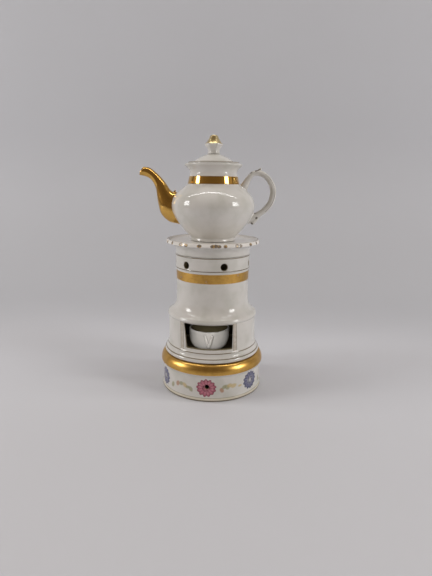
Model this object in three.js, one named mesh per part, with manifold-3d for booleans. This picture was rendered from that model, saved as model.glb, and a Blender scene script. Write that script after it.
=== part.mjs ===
// A small porcelain teapot on its lamp stand. Millimetres, +Z up.
// The origin is the centre of the plinth's underside. The lamp window faces -Y,
// the spout points along -X and the handle along +X.
import * as THREE from 'three';
import { mergeVertices } from 'three/addons/utils/BufferGeometryUtils.js';
import Module from 'manifold-3d';

const wasm = await Module();
wasm.setup();

// Fits
const seatGap = 0.3;
const dropInClearance = 0.6;
const wickClearance = 0.3;

// Oil cup
const cupRadius = 20.2;
const cupHeight = 21.3;
const cupFootRadius = 12.5;
const cupWall = 2.4;
const cupFloor = 3.4;
const cupFootRecess = 0.8;
const cupOffset = -2.8;
const cupTurn = 4;
const cupHandleThickness = 3;
const cupHandleSpread = 3.2;
const cupHandleTop = 18.2;
const cupHandleBottom = 6.6;
const cupHandleReach = 1.6;

// Floating wick
const floatRadius = 8.5;
const floatThickness = 4;
const plateRadius = 5.5;
const plateThickness = 0.6;
const wickRadius = 0.9;
const wickRise = 4.6;

// Lamp stand
const drumRadius = 42.6;
const drumTopSwell = 0.9;
const standWall = 3.7;
const drumBeadHeight = 2.2;
const footSpread = 4.1;
const footHeight = 11.7;
const footBevel = 1.2;
const windowSill = 12.2;
const windowWidening = 4.7;
const windowLintel = 1.1;
const windowOffset = 0.85;
const windowCornerRadius = 2;
const windowPassage = 2.2;
const shoulderHeight = 13.6;
const shaftRadius = 34.75;
const shaftWall = 3.4;
const shaftHeight = 19.6;
const shaftFlare = 0.4;
const bandHeight = 9;
const ringHeight = 15;
const ringStep = 0.35;
const beadWidth = 0.35;
const ventRadius = 3.3;
const ventCount = 6;
const ventTurn = 22;
const ventHeight = 6.4;

// Plinth
const plinthHeight = 35.5;
const plinthStep = 2.8;
const plinthTaper = 1.1;
const plinthWall = 4;
const plinthFloor = 4;
const ovoloHeight = 9.1;
const ovoloDepth = 5.4;
const ovoloOverhang = 1.1;
const locatingRingHeight = 2.2;
const locatingRingWall = 2.2;
const locatingRingInset = 2.2;
const plinthVentRadius = 2.1;
const plinthVentHeight = 14.4;

// Dish on top of the stand
const dishRadius = 44.7;
const dishHeight = 13.7;
const dishRimThickness = 3.6;
const dishLip = 1.7;
const dishFloorThickness = 3.4;
const dishLedge = 1.3;

// Teapot
const potRadius = 38.75;
const potBellyHeight = 31.5;
const potShoulderHeight = 19.8;
const potFootRadius = 21.2;
const potFootWall = 3.4;
const potFootHeight = 3.4;
const potFootRecess = 2;
const potWall = 2.6;
const neckRadius = 24.2;
const neckTaper = 2.55;
const neckHeight = 10.3;
const brimRadius = 26.75;
const brimHeight = 8.1;
const mouthRadius = 19.3;
const strainerHoleRadius = 1.5;
const strainerPitch = 4.6;
const strainerDrop = 1.5;

// Spout
const spoutWall = 1.9;

// Lid
const lidRadius = 23.6;
const lidFlangeThickness = 1.3;
const lidDomeRadius = 17;
const lidDomeHeight = 8;
const lidWall = 2.4;
const lidSkirtDepth = 5.4;
const lidSkirtWall = 1.8;
const knobStemRadius = 5.2;
const knobRadius = 8.3;
const knobTopRadius = 3.4;
const knobHeight = 16.9;
const knobStemHeight = 4;
const knobGirdleHeight = 8.4;
const knobFacets = 6;
const steamHoleRadius = 1.1;
const steamHoleDistance = 9.5;

// Facets round the turned pieces
const bodyFacets = 40;
const innerFacets = 32;
const smallFacets = 24;
const holeFacets = 12;

// Sizes that follow from the ones above
const standFootRadius = drumRadius + footSpread;
const plinthFootRadius = standFootRadius + plinthStep;
const plinthBandRadius = plinthFootRadius - plinthTaper;
const plinthTopRadius = plinthFootRadius + ovoloOverhang - ovoloDepth;
const locatingRingRadius = drumRadius - locatingRingInset;
const footRecessRadius = locatingRingRadius + dropInClearance;
const footRecessHeight = locatingRingHeight + 3 * dropInClearance;
const windowWidth = 2 * cupRadius + windowPassage;
const windowHeight = cupHeight + windowPassage;
const drumTop = windowSill + windowHeight + windowLintel;
const shoulderBottom = drumTop + drumBeadHeight;
const shoulderTop = shoulderBottom + shoulderHeight;
const bandBottom = shoulderTop + shaftHeight;
const ringBottom = bandBottom + bandHeight;
const standHeight = ringBottom + ringHeight;
const ringRadius = shaftRadius + shaftFlare + ringStep;
const shaftInnerRadius = shaftRadius - shaftWall;
const dishFloorHeight = dishHeight - dishLip;
const potFootInnerRadius = potFootRadius - potFootWall;
const dishHoleRadius = potFootInnerRadius - dishLedge;
const neckBottom = potBellyHeight + potShoulderHeight;
const neckTop = neckBottom + neckHeight;
const potHeight = neckTop + brimHeight;
const strainerHeight = potBellyHeight - strainerDrop;
const lidSkirtRadius = mouthRadius - dropInClearance;
const floatHoleRadius = wickRadius + wickClearance;
const plateLevel = floatThickness + seatGap;

const glaze = { color: 0xe8e5df, roughness: 0.18, metalness: 0 };
const gilding = { color: 0xb38726, roughness: 0.25, metalness: 0.9 };
const corkFinish = { color: 0x9a7348, roughness: 0.9, metalness: 0 };
const tinFinish = { color: 0xa9abab, roughness: 0.35, metalness: 0.9 };
const wickFinish = { color: 0xe6ddc6, roughness: 0.8, metalness: 0 };

// Closed triangle mesh to solid, with doubled corners merged and faces turned outward
function toSolid(geometry) {
  const bare = geometry.clone();
  bare.deleteAttribute('normal');
  bare.deleteAttribute('uv');
  const merged = mergeVertices(bare, 1e-4);
  const corners = merged.index.array;
  const place = merged.attributes.position;
  const kept = [];
  let volume = 0;
  const a = new THREE.Vector3();
  const b = new THREE.Vector3();
  const c = new THREE.Vector3();
  for (let i = 0; i < corners.length; i += 3) {
    const [p, q, r] = [corners[i], corners[i + 1], corners[i + 2]];
    if (p === q || q === r || r === p) {
      continue;
    }
    kept.push(p, q, r);
    a.fromBufferAttribute(place, p);
    b.fromBufferAttribute(place, q);
    c.fromBufferAttribute(place, r);
    volume += a.dot(b.cross(c));
  }
  if (volume < 0) {
    kept.reverse();
  }
  return new wasm.Manifold(new wasm.Mesh({
    numProp: 3,
    vertProperties: new Float32Array(place.array),
    triVerts: new Uint32Array(kept),
  }));
}

function piece(name, solid, finish) {
  const mesh = solid.getMesh();
  const geometry = new THREE.BufferGeometry();
  geometry.setAttribute('position', new THREE.BufferAttribute(mesh.vertProperties, 3));
  geometry.setIndex(new THREE.BufferAttribute(mesh.triVerts, 1));
  geometry.computeVertexNormals();
  const made = new THREE.Mesh(geometry, new THREE.MeshStandardMaterial(finish));
  made.name = name;
  return made;
}

// Outlines are lists of [radius, height]
function turn(outline, facets) {
  const points = outline.map(([radius, height]) => new THREE.Vector2(radius, height));
  const onAxis = outline[0][0] === 0 && outline[outline.length - 1][0] === 0;
  if (!onAxis) {
    points.push(points[0].clone());
  }
  const geometry = new THREE.LatheGeometry(points, facets);
  geometry.rotateX(Math.PI / 2);
  return toSolid(geometry);
}

function bezier(start, pullStart, pullEnd, end, steps) {
  const corners = [start, pullStart, pullEnd, end].map(([r, z]) => new THREE.Vector2(r, z));
  const curve = new THREE.CubicBezierCurve(...corners);
  return curve.getPoints(steps).map((point) => [point.x, point.y]);
}

// The outline moved sideways by a distance, to its right as it is walked
function offsetOutline(outline, distance) {
  return outline.map(([radius, height], i) => {
    const before = outline[Math.max(i - 1, 0)];
    const after = outline[Math.min(i + 1, outline.length - 1)];
    const along = new THREE.Vector2(after[0] - before[0], after[1] - before[1]).normalize();
    return [radius + along.y * distance, height - along.x * distance];
  });
}

function roundBar(radius, length, facets) {
  return new THREE.CylinderGeometry(radius, radius, length, facets);
}

// Smooth values between stations, which are lists of equal length
function alongStations(stations, stepsBetween) {
  const rows = [];
  const last = stations.length - 1;
  for (let i = 0; i < last; i += 1) {
    const four = [i - 1, i, i + 1, i + 2].map((j) => stations[Math.min(Math.max(j, 0), last)]);
    for (let step = 0; step < stepsBetween; step += 1) {
      const t = step / stepsBetween;
      rows.push(four[1].map((value, k) => {
        const slopeIn = (four[2][k] - four[0][k]) / 2;
        const slopeOut = (four[3][k] - four[1][k]) / 2;
        const rise = four[2][k] - value;
        const cubic = slopeIn + slopeOut - 2 * rise;
        const square = 3 * rise - 2 * slopeIn - slopeOut;
        return value + slopeIn * t + square * t * t + cubic * t * t * t;
      }));
    }
  }
  rows.push(stations[last]);
  return rows;
}

// Closed skin over oval rings. Each ring is [upper x, upper z, lower x, lower z, width].
function skinOverRings(rings, sides) {
  const positions = [];
  const faces = [];
  for (const [upperX, upperZ, lowerX, lowerZ, width] of rings) {
    for (let side = 0; side < sides; side += 1) {
      const angle = (2 * Math.PI * side) / sides;
      const share = (1 + Math.cos(angle)) / 2;
      positions.push(
        lowerX + (upperX - lowerX) * share,
        (width / 2) * Math.sin(angle),
        lowerZ + (upperZ - lowerZ) * share,
      );
    }
  }
  for (let ring = 0; ring + 1 < rings.length; ring += 1) {
    for (let side = 0; side < sides; side += 1) {
      const here = ring * sides + side;
      const next = ring * sides + ((side + 1) % sides);
      faces.push(here, next, next + sides, here, next + sides, here + sides);
    }
  }
  const lastRing = (rings.length - 1) * sides;
  for (let side = 1; side + 1 < sides; side += 1) {
    faces.push(0, side + 1, side);
    faces.push(lastRing, lastRing + side, lastRing + side + 1);
  }
  const geometry = new THREE.BufferGeometry();
  geometry.setAttribute('position', new THREE.Float32BufferAttribute(positions, 3));
  geometry.setIndex(faces);
  return toSolid(geometry);
}

// Plinth: a hollow turned drum with a gilt ovolo, a ring that centres the stand
// and a small kiln vent at the front
function makePlinth() {
  const shoulder = plinthHeight - ovoloHeight;
  const ovolo = [];
  const steps = 6;
  for (let i = 0; i <= steps; i += 1) {
    const angle = (Math.PI / 2) * (i / steps);
    ovolo.push([
      plinthTopRadius + ovoloDepth * Math.cos(angle),
      shoulder + ovoloHeight * Math.sin(angle),
    ]);
  }
  const ringInner = locatingRingRadius - locatingRingWall;
  const ringTop = plinthHeight + locatingRingHeight;
  const outer = turn([
    [0, 0],
    [plinthFootRadius - 0.5, 0],
    [plinthFootRadius, 0.5],
    [plinthFootRadius - 0.1, 3.4],
    [plinthBandRadius, shoulder - 1.8],
    [plinthFootRadius + ovoloOverhang - 0.9, shoulder - 1.2],
    ...ovolo,
    [locatingRingRadius, plinthHeight],
    [locatingRingRadius - 0.4, ringTop],
    [ringInner, ringTop],
    [ringInner, plinthHeight],
    [0, plinthHeight],
  ], bodyFacets);
  const hollowRadius = plinthBandRadius - plinthWall;
  const hollowTop = plinthHeight - plinthFloor;
  const hollow = turn([
    [0, plinthFloor],
    [hollowRadius, plinthFloor],
    [hollowRadius, hollowTop - 3],
    [hollowRadius - 3, hollowTop],
    [0, hollowTop],
  ], innerFacets);
  const vent = roundBar(plinthVentRadius, 3 * plinthWall, holeFacets);
  vent.translate(0, -plinthBandRadius, plinthVentHeight);
  return outer.subtract(hollow).subtract(toSolid(vent));
}

function windowOutline() {
  const sillHalf = windowWidth / 2;
  const headHalf = sillHalf + windowWidening / 2;
  const centre = windowOffset;
  const head = windowSill + windowHeight;
  const radius = windowCornerRadius;
  const shape = new THREE.Shape();
  shape.moveTo(centre - sillHalf, windowSill);
  shape.lineTo(centre + sillHalf, windowSill);
  shape.lineTo(centre + sillHalf, head - radius);
  shape.quadraticCurveTo(centre + sillHalf, head, centre + sillHalf - radius, head);
  shape.lineTo(centre - headHalf, head);
  shape.closePath();
  return shape;
}

// Stand: moulded foot, drum with the lamp window, shoulder, shaft, and the ring
// with its smoke vents
function makeStand() {
  const foot = standFootRadius;
  const swell = drumRadius + drumTopSwell;
  const neckOfShaft = shaftRadius + shaftFlare;
  const outer = turn([
    [0, 0],
    [foot - footBevel, 0],
    [foot, footBevel * 0.8],
    [foot + 0.1, 2.8],
    [foot - 0.8, 4.2],
    [foot - 2.1, 5.3],
    [foot - 2.8, 6.8],
    [foot - 2.8, 8.6],
    [foot - 3.6, 10.1],
    [drumRadius + 0.2, footHeight],
    [drumRadius - 0.1, drumTop - 0.4],
    [swell - 0.1, drumTop + 0.4],
    ...bezier(
      [swell, shoulderBottom],
      [swell - 0.7, shoulderBottom + 3.1],
      [shaftRadius + 0.85, shoulderBottom + 2.4],
      [shaftRadius + 0.35, shoulderTop],
      8,
    ),
    [shaftRadius, shoulderTop + 0.6 * shaftHeight],
    [shaftRadius + 0.1, bandBottom],
    [neckOfShaft - 0.1, ringBottom],
    [neckOfShaft, ringBottom + 1.5],
    [ringRadius + beadWidth, ringBottom + 2.4],
    [ringRadius, ringBottom + 3.3],
    [ringRadius, standHeight - 1.4],
    [ringRadius + beadWidth, standHeight - 0.7],
    [ringRadius, standHeight],
    [0, standHeight],
  ], bodyFacets);
  const drumInner = drumRadius - standWall;
  const hollow = turn([
    [0, -1],
    [footRecessRadius, -1],
    [footRecessRadius, footRecessHeight],
    [drumInner, footRecessHeight + 3],
    [drumInner, drumTop],
    [shaftInnerRadius, shoulderBottom + 0.6 * shoulderHeight],
    [shaftInnerRadius, standHeight + 1],
    [0, standHeight + 1],
  ], innerFacets);
  const window = new THREE.ExtrudeGeometry(windowOutline(), {
    depth: 2 * drumRadius,
    bevelEnabled: false,
    curveSegments: 3,
  });
  window.rotateX(Math.PI / 2);
  let stand = outer.subtract(hollow).subtract(toSolid(window));
  for (let i = 0; i < ventCount; i += 1) {
    const vent = roundBar(ventRadius, 4 * standWall, holeFacets);
    vent.translate(0, -ringRadius, ringBottom + ventHeight);
    vent.rotateZ(THREE.MathUtils.degToRad(ventTurn + (360 / ventCount) * i));
    stand = stand.subtract(toSolid(vent));
  }
  return stand;
}

// Dish: a flared top luted to the ring, with a low lip and the warming hole
function makeDish() {
  const underside = dishHeight - dishLip - dishFloorThickness;
  const rimBottom = dishHeight - dishRimThickness - 0.3;
  return turn([
    [ringRadius, 0],
    ...bezier(
      [ringRadius - 0.2, 1],
      [ringRadius - 0.2, 6.2],
      [ringRadius + 2.7, rimBottom - 1],
      [dishRadius - 1.3, rimBottom],
      5,
    ),
    [dishRadius, rimBottom + 1.4],
    [dishRadius - 0.1, dishHeight - 0.9],
    [dishRadius - 0.9, dishHeight],
    [dishRadius - 1.9, dishHeight],
    [dishRadius - 3.6, dishFloorHeight],
    [dishHoleRadius, dishFloorHeight],
    [dishHoleRadius, underside],
    [shaftInnerRadius - 2, underside],
    [shaftInnerRadius, underside - 2],
    [shaftInnerRadius, 0],
  ], bodyFacets);
}

// Oil cup, with its foot recessed underneath
function cupOutline() {
  return [
    ...bezier(
      [cupFootRadius, 0.6],
      [cupFootRadius + 4.5, 1.6],
      [cupRadius - 0.3, 0.27 * cupHeight],
      [cupRadius - 0.1, 0.73 * cupHeight],
      6,
    ),
    [cupRadius, cupHeight - 2],
    [cupRadius, cupHeight - 0.7],
  ];
}

function makeCup() {
  const outer = cupOutline();
  const lip = [
    [cupRadius - 0.5, cupHeight],
    [cupRadius - cupWall + 0.5, cupHeight],
  ];
  const inner = [
    ...offsetOutline(outer.slice(1), -cupWall).filter(([, z]) => z > cupFloor + 0.8).reverse(),
    [cupFootRadius - 1.5, cupFloor],
    [0, cupFloor],
  ];
  const under = [
    [0, cupFootRecess],
    [cupFootRadius - 2.6, cupFootRecess],
    [cupFootRadius - 2.2, 0],
    [cupFootRadius - 0.4, 0],
  ];
  return turn([...under, ...outer, ...lip, ...inner], innerFacets);
}

// Loop pull on the front of the cup: one roll of clay bent to a V
function makeCupHandle() {
  const lift = cupHandleThickness / 2;
  const front = cupRadius + lift - 0.5;
  const out = front + cupHandleReach;
  const middle = (cupHandleTop + cupHandleBottom) / 2;
  const route = new THREE.CatmullRomCurve3([
    new THREE.Vector3(-cupHandleSpread - 0.6, -front + 1.4, cupHandleTop),
    new THREE.Vector3(-0.8 * cupHandleSpread, -out + 0.6, middle + 3),
    new THREE.Vector3(-0.4 * cupHandleSpread, -out, middle - 2),
    new THREE.Vector3(0, -front + 0.6, cupHandleBottom),
    new THREE.Vector3(0.4 * cupHandleSpread, -out, middle - 2),
    new THREE.Vector3(0.8 * cupHandleSpread, -out + 0.6, middle + 3),
    new THREE.Vector3(cupHandleSpread + 0.6, -front + 1.4, cupHandleTop),
  ]);
  const section = new THREE.Shape();
  section.absarc(0, 0, lift, 0, 2 * Math.PI);
  const roll = new THREE.ExtrudeGeometry(section, {
    extrudePath: route,
    steps: 18,
    curveSegments: 4,
    bevelEnabled: false,
  });
  const clearOfCup = offsetOutline(cupOutline(), seatGap);
  const cut = turn([[0, 0], ...clearOfCup, [0, cupHeight]], innerFacets);
  return toSolid(roll).subtract(cut);
}

function ringPlate(radius, hole, thickness) {
  return turn([
    [hole, 0],
    [radius, 0],
    [radius, thickness],
    [hole, thickness],
  ], smallFacets);
}

function makeWick() {
  const length = plateLevel + plateThickness + wickRise - seatGap;
  const wick = roundBar(wickRadius, length, holeFacets);
  wick.rotateX(Math.PI / 2);
  wick.translate(0, 0, length / 2);
  return toSolid(wick);
}

// The pot's outside from the foot to the brim's edge
function potOutline() {
  const footTop = potFootRadius + 0.4;
  return [
    ...bezier(
      [footTop, potFootHeight],
      [footTop + 5.9, potFootHeight + 5.6],
      [potRadius, potBellyHeight - 9.5],
      [potRadius, potBellyHeight],
      8,
    ),
    ...bezier(
      [potRadius, potBellyHeight],
      [potRadius, potBellyHeight + 0.56 * potShoulderHeight],
      [neckRadius + 5.6, potBellyHeight + 0.75 * potShoulderHeight],
      [neckRadius, neckBottom],
      7,
    ).slice(1),
    [neckRadius - 0.63 * neckTaper, neckBottom + 0.7 * neckHeight],
  ];
}

function brimOutline() {
  const narrow = neckRadius - neckTaper;
  return [
    ...bezier(
      [narrow, neckTop],
      [narrow + 0.1, neckTop + 0.3 * brimHeight],
      [brimRadius - 2.4, potHeight - 3.2],
      [brimRadius - 0.3, potHeight - 1.7],
      3,
    ),
    [brimRadius, potHeight - 0.8],
    [brimRadius - 0.4, potHeight],
  ];
}

function makePot() {
  const outer = potOutline();
  const foot = [
    [potFootInnerRadius, 0],
    [potFootRadius, 0],
    [potFootRadius + 0.1, 0.8],
    [potFootRadius - 0.4, potFootHeight - 0.8],
  ];
  const bellyInside = offsetOutline(outer, -potWall)
    .filter((_, i) => i > 0 && i % 2 === 0)
    .filter(([, z]) => z < neckBottom);
  const inner = [
    [mouthRadius + 0.9, potHeight],
    [mouthRadius, potHeight - 1],
    [mouthRadius, neckTop],
    [neckRadius - potWall, neckBottom - 0.5],
    ...bellyInside.reverse(),
    [potFootInnerRadius - 3, potFootRecess + potWall],
    [0, potFootRecess + potWall],
  ];
  const under = [
    [0, potFootRecess],
    [potFootInnerRadius - 0.4, potFootRecess],
  ];
  let pot = turn([...under, ...foot, ...outer, ...brimOutline(), ...inner], bodyFacets);
  // Strainer holes behind the spout: one in the middle and six round it
  for (let i = 0; i < 7; i += 1) {
    const angle = (Math.PI / 3) * i;
    const reach = i < 6 ? strainerPitch : 0;
    const hole = roundBar(strainerHoleRadius, 12 * potWall, 8);
    hole.rotateZ(Math.PI / 2);
    hole.translate(-potRadius, reach * Math.cos(angle), strainerHeight + reach * Math.sin(angle));
    pot = pot.subtract(toSolid(hole));
  }
  return pot;
}

// Room that the pot takes, for fitting the spout and the handle against it
function potRoom() {
  const skin = offsetOutline(potOutline(), seatGap);
  return turn([[0, potFootHeight], ...skin, [0, neckTop]], bodyFacets);
}

// Spout: S-curved and bored, from its root on the belly to the lip.
// Stations run [upper x, upper z, lower x, lower z, width], measured from the belly's side.
const spoutStations = [
  [12, 10.5, 7, -17.5, 21],
  [4.5, 12.2, -3.2, -15.2, 19.5],
  [0.4, 12.8, -10.6, -8.4, 17.5],
  [-2.6, 15.2, -13.3, 0.2, 15],
  [-5.8, 20, -14.6, 7.6, 12.5],
  [-10.2, 25.4, -15.6, 15.4, 10.8],
  [-15.4, 30.2, -19.2, 22.6, 9.6],
  [-21.2, 34.4, -24.4, 26.2, 9],
  [-26.8, 35.2, -31, 27.6, 8.6],
];

function shrinkRing([upperX, upperZ, lowerX, lowerZ, width], wall) {
  const height = Math.hypot(upperX - lowerX, upperZ - lowerZ);
  const share = wall / height;
  const inX = (upperX - lowerX) * share;
  const inZ = (upperZ - lowerZ) * share;
  return [upperX - inX, upperZ - inZ, lowerX + inX, lowerZ + inZ, width - 2 * wall];
}

function makeSpout() {
  const rings = alongStations(spoutStations, 2);
  const bore = rings.map((ring) => shrinkRing(ring, spoutWall));
  const mouth = bore[bore.length - 1];
  bore.push([mouth[0] - 3, mouth[1] + 1.6, mouth[2] - 3, mouth[3] + 1.6, mouth[4]]);
  const thorn = skinOverRings(alongStations([
    [-1.6, 11.4, 4.4, 5.4, 5],
    [0.6, 12.6, 3.4, 11.2, 3.6],
    [2.2, 14.2, 3.2, 13.6, 1.2],
  ], 2), 8);
  return skinOverRings(rings, 16)
    .add(thorn)
    .subtract(skinOverRings(bore, 12))
    .translate([-potRadius, 0, potBellyHeight])
    .subtract(potRoom());
}

// Handle: an ear with a thumb spur above and a small scroll below.
// Stations run [x, z, thickness, width] along its middle, measured from the belly's side.
const handleStations = [
  [-12.9, 13.3, 8.4, 9],
  [-9.9, 18.7, 7.2, 7.8],
  [-7.5, 23.4, 5.8, 6.6],
  [-4.7, 27.6, 4.8, 6.2],
  [-1, 30.2, 4.9, 6],
  [3.9, 30.4, 5.2, 6],
  [9.1, 27.8, 5, 6],
  [13.3, 23.2, 5.2, 6],
  [16.1, 17.4, 5.6, 6.2],
  [16.7, 11.2, 5.8, 6.4],
  [14.9, 4.4, 5.8, 6.4],
  [10.9, -1.4, 5.6, 6.4],
  [5.4, -6, 5.4, 6.4],
  [-0.6, -9.6, 6.4, 7],
  [-6, -12.4, 7, 7.4],
];

function ringsAlong(stations, stepsBetween) {
  const rows = alongStations(stations, stepsBetween);
  return rows.map(([x, z, thickness, width], i) => {
    const before = rows[Math.max(i - 1, 0)];
    const after = rows[Math.min(i + 1, rows.length - 1)];
    const along = new THREE.Vector2(after[0] - before[0], after[1] - before[1]).normalize();
    const outX = (-along.y * thickness) / 2;
    const outZ = (along.x * thickness) / 2;
    return [x + outX, z + outZ, x - outX, z - outZ, width];
  });
}

function makeHandle() {
  const ear = skinOverRings(ringsAlong(handleStations, 2), 12);
  const spur = skinOverRings(ringsAlong([
    [1.6, 30.2, 4.6, 5],
    [3.6, 33, 3.2, 3.8],
    [5, 35, 1.2, 1.6],
  ], 2), 8);
  const scroll = skinOverRings(ringsAlong([
    [3.8, -8, 4.4, 6],
    [1.2, -11.4, 4.2, 5.8],
    [-1, -13.8, 5.2, 6],
    [-2.8, -15.6, 2.8, 4],
  ], 2), 10);
  return ear
    .add(spur)
    .add(scroll)
    .translate([potRadius, 0, potBellyHeight])
    .subtract(potRoom());
}

// Lid: flange, low dome, a skirt that drops into the mouth, and a steam hole
function makeLid() {
  const domeFoot = lidFlangeThickness + 0.5;
  const dome = bezier(
    [lidDomeRadius, domeFoot],
    [lidDomeRadius - 1.6, domeFoot + 2.4],
    [lidDomeRadius - 7.5, lidDomeHeight - 1],
    [knobStemRadius + 1, lidDomeHeight],
    5,
  );
  const skirtInner = lidSkirtRadius - lidSkirtWall;
  const lid = turn([
    [0, lidDomeHeight - lidWall],
    [knobStemRadius + 1, lidDomeHeight - lidWall],
    [0.6 * lidDomeRadius, 0.62 * lidDomeHeight - lidWall],
    [skirtInner, domeFoot - lidWall],
    [skirtInner, -lidSkirtDepth],
    [lidSkirtRadius - 0.5, -lidSkirtDepth],
    [lidSkirtRadius, -lidSkirtDepth + 1],
    [lidSkirtRadius, 0],
    [lidRadius - 0.3, 0],
    [lidRadius, 0.6],
    [lidRadius - 0.4, lidFlangeThickness - 0.1],
    [lidDomeRadius + 0.9, lidFlangeThickness + 0.1],
    ...dome,
    [0, lidDomeHeight],
  ], innerFacets);
  const steamHole = roundBar(steamHoleRadius, 2 * lidDomeHeight, 8);
  steamHole.rotateX(Math.PI / 2);
  steamHole.translate(0, steamHoleDistance, lidDomeHeight / 2);
  return lid.subtract(toSolid(steamHole));
}

function makeKnob() {
  const stem = turn([
    [0, 0],
    [knobStemRadius + 0.7, 0],
    [knobStemRadius + 0.5, 0.2 * knobStemHeight],
    [knobStemRadius, 0.5 * knobStemHeight],
    [knobStemRadius + 0.2, knobStemHeight],
    [0, knobStemHeight],
  ], 16);
  const head = turn([
    [0, knobStemHeight - 1.5],
    [knobStemRadius, knobStemHeight - 1.5],
    [knobStemRadius + 0.7, knobStemHeight + 1],
    [knobRadius - 0.5, knobGirdleHeight - 1.1],
    [knobRadius, knobGirdleHeight - 0.3],
    [knobRadius, knobGirdleHeight + 0.3],
    [knobRadius - 0.5, knobGirdleHeight + 0.9],
    [knobTopRadius + 1.9, knobHeight - 4.6],
    [knobTopRadius + 0.2, knobHeight - 1.3],
    [knobTopRadius - 0.8, knobHeight - 0.3],
    [0, knobHeight],
  ], knobFacets).rotate([0, 0, 180 / knobFacets]);
  return stem.add(head);
}

const plinth = piece('base_plinth', makePlinth(), glaze);

const cup = piece('godet_cup', makeCup(), glaze);
const cupHandle = piece('godet_handle', makeCupHandle(), glaze);
const wickFloat = piece('wick_float', ringPlate(floatRadius, floatHoleRadius, floatThickness), corkFinish);
const wickPlate = piece('wick_plate', ringPlate(plateRadius, floatHoleRadius, plateThickness), tinFinish);
const wick = piece('wick', makeWick(), wickFinish);
wickPlate.position.z = plateLevel;
const floatingWick = new THREE.Group();
floatingWick.add(wickFloat, wickPlate, wick);
floatingWick.position.z = cupFloor + seatGap;
const godet = new THREE.Group();
godet.add(cup, cupHandle, floatingWick);
godet.position.set(cupOffset, 0, plinthHeight + seatGap);
godet.rotation.z = THREE.MathUtils.degToRad(cupTurn);

const lid = piece('lid', makeLid(), glaze);
const knob = piece('lid_knob', makeKnob(), gilding);
knob.position.z = lidDomeHeight + seatGap;
const lidGroup = new THREE.Group();
lidGroup.add(lid, knob);
lidGroup.position.z = potHeight + seatGap;

const pot = piece('pot_body', makePot(), glaze);
const spout = piece('spout', makeSpout(), gilding);
const handle = piece('handle', makeHandle(), glaze);
const potGroup = new THREE.Group();
potGroup.add(pot, spout, handle, lidGroup);
potGroup.position.z = standHeight + seatGap + dishFloorHeight + seatGap;

const stand = piece('stand_body', makeStand(), glaze);
const dish = piece('stand_dish', makeDish(), glaze);
dish.position.z = standHeight + seatGap;
const standGroup = new THREE.Group();
standGroup.add(stand, dish, potGroup);
standGroup.position.z = plinthHeight + seatGap;

const teapotOnStand = new THREE.Group();
teapotOnStand.add(plinth, godet, standGroup);

export default teapotOnStand;
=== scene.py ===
"""A small porcelain teapot on its lamp stand: fine surfaces, glaze, gilding and painting.

Outlines are written in millimetres as (radius, height), each from the foot of its own
piece, and a third number rounds that corner. Angles round the axis are in degrees from the
front, counted towards +X. Everything in the scene is in metres.
"""

import math

import bmesh
import bpy
from bpy.props import FloatProperty, FloatVectorProperty, IntProperty, PointerProperty
from mathutils import Matrix, Vector


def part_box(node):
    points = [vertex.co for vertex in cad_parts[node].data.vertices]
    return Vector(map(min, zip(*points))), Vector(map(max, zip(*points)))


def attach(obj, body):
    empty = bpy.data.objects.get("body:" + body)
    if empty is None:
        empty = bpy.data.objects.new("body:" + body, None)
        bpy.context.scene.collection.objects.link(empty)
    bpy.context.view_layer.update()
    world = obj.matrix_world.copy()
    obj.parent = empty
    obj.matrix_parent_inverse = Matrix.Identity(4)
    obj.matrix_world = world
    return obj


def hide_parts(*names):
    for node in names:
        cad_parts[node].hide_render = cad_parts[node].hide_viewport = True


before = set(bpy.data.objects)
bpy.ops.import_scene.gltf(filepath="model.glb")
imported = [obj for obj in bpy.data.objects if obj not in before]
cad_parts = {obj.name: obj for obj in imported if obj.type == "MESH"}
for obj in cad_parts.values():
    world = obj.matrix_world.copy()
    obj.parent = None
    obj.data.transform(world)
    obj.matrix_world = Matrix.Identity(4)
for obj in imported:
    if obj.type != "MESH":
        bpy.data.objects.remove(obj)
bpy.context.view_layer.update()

bl_info = {
    "name": "Porcelain teapot on a lamp stand",
    "version": (1, 0, 0),
    "blender": (4, 5, 0),
    "location": "3D View > Sidebar > Teapot",
    "description": "Builds the glazed and gilded pieces of a teapot and its lamp stand",
    "category": "Object",
}

MM = 0.001
TURN = 2 * math.pi


def colour(name, description, default):
    return FloatVectorProperty(
        name=name, description=description, subtype="COLOR", size=3, min=0, max=1, default=default
    )


def length(name, description, millimetres, low=0.0, high=500.0):
    return FloatProperty(
        name=name,
        description=description,
        subtype="DISTANCE",
        unit="LENGTH",
        min=low * MM,
        max=high * MM,
        default=millimetres * MM,
        precision=5,
    )


class TeapotSizes(bpy.types.PropertyGroup):
    """Sizes of the fine shapes and of the decoration"""

    columns: IntProperty(
        name="Facets round",
        description="Columns of faces round a turned piece",
        min=48,
        max=384,
        default=192,
    )
    fineness: length("Fineness", "Longest step along a turned outline", 1.1, 0.3, 5)
    joint_fillet: length("Handle joint", "Slip that rounds the joints of the handle", 1.3, 0.2, 3)
    spout_fillet: length("Spout joint", "Slip that rounds the joint of the spout", 0.6, 0.2, 3)
    bar_width: length("Window bar", "Width of the worn bars beside the window", 3.6, 0.3, 5)
    line_width: length("Gold line", "Width of the thin gold lines", 0.8, 0.2, 3)
    flower_radius: length("Flower", "Radius of a painted flower", 9.5, 3, 15)


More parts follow.
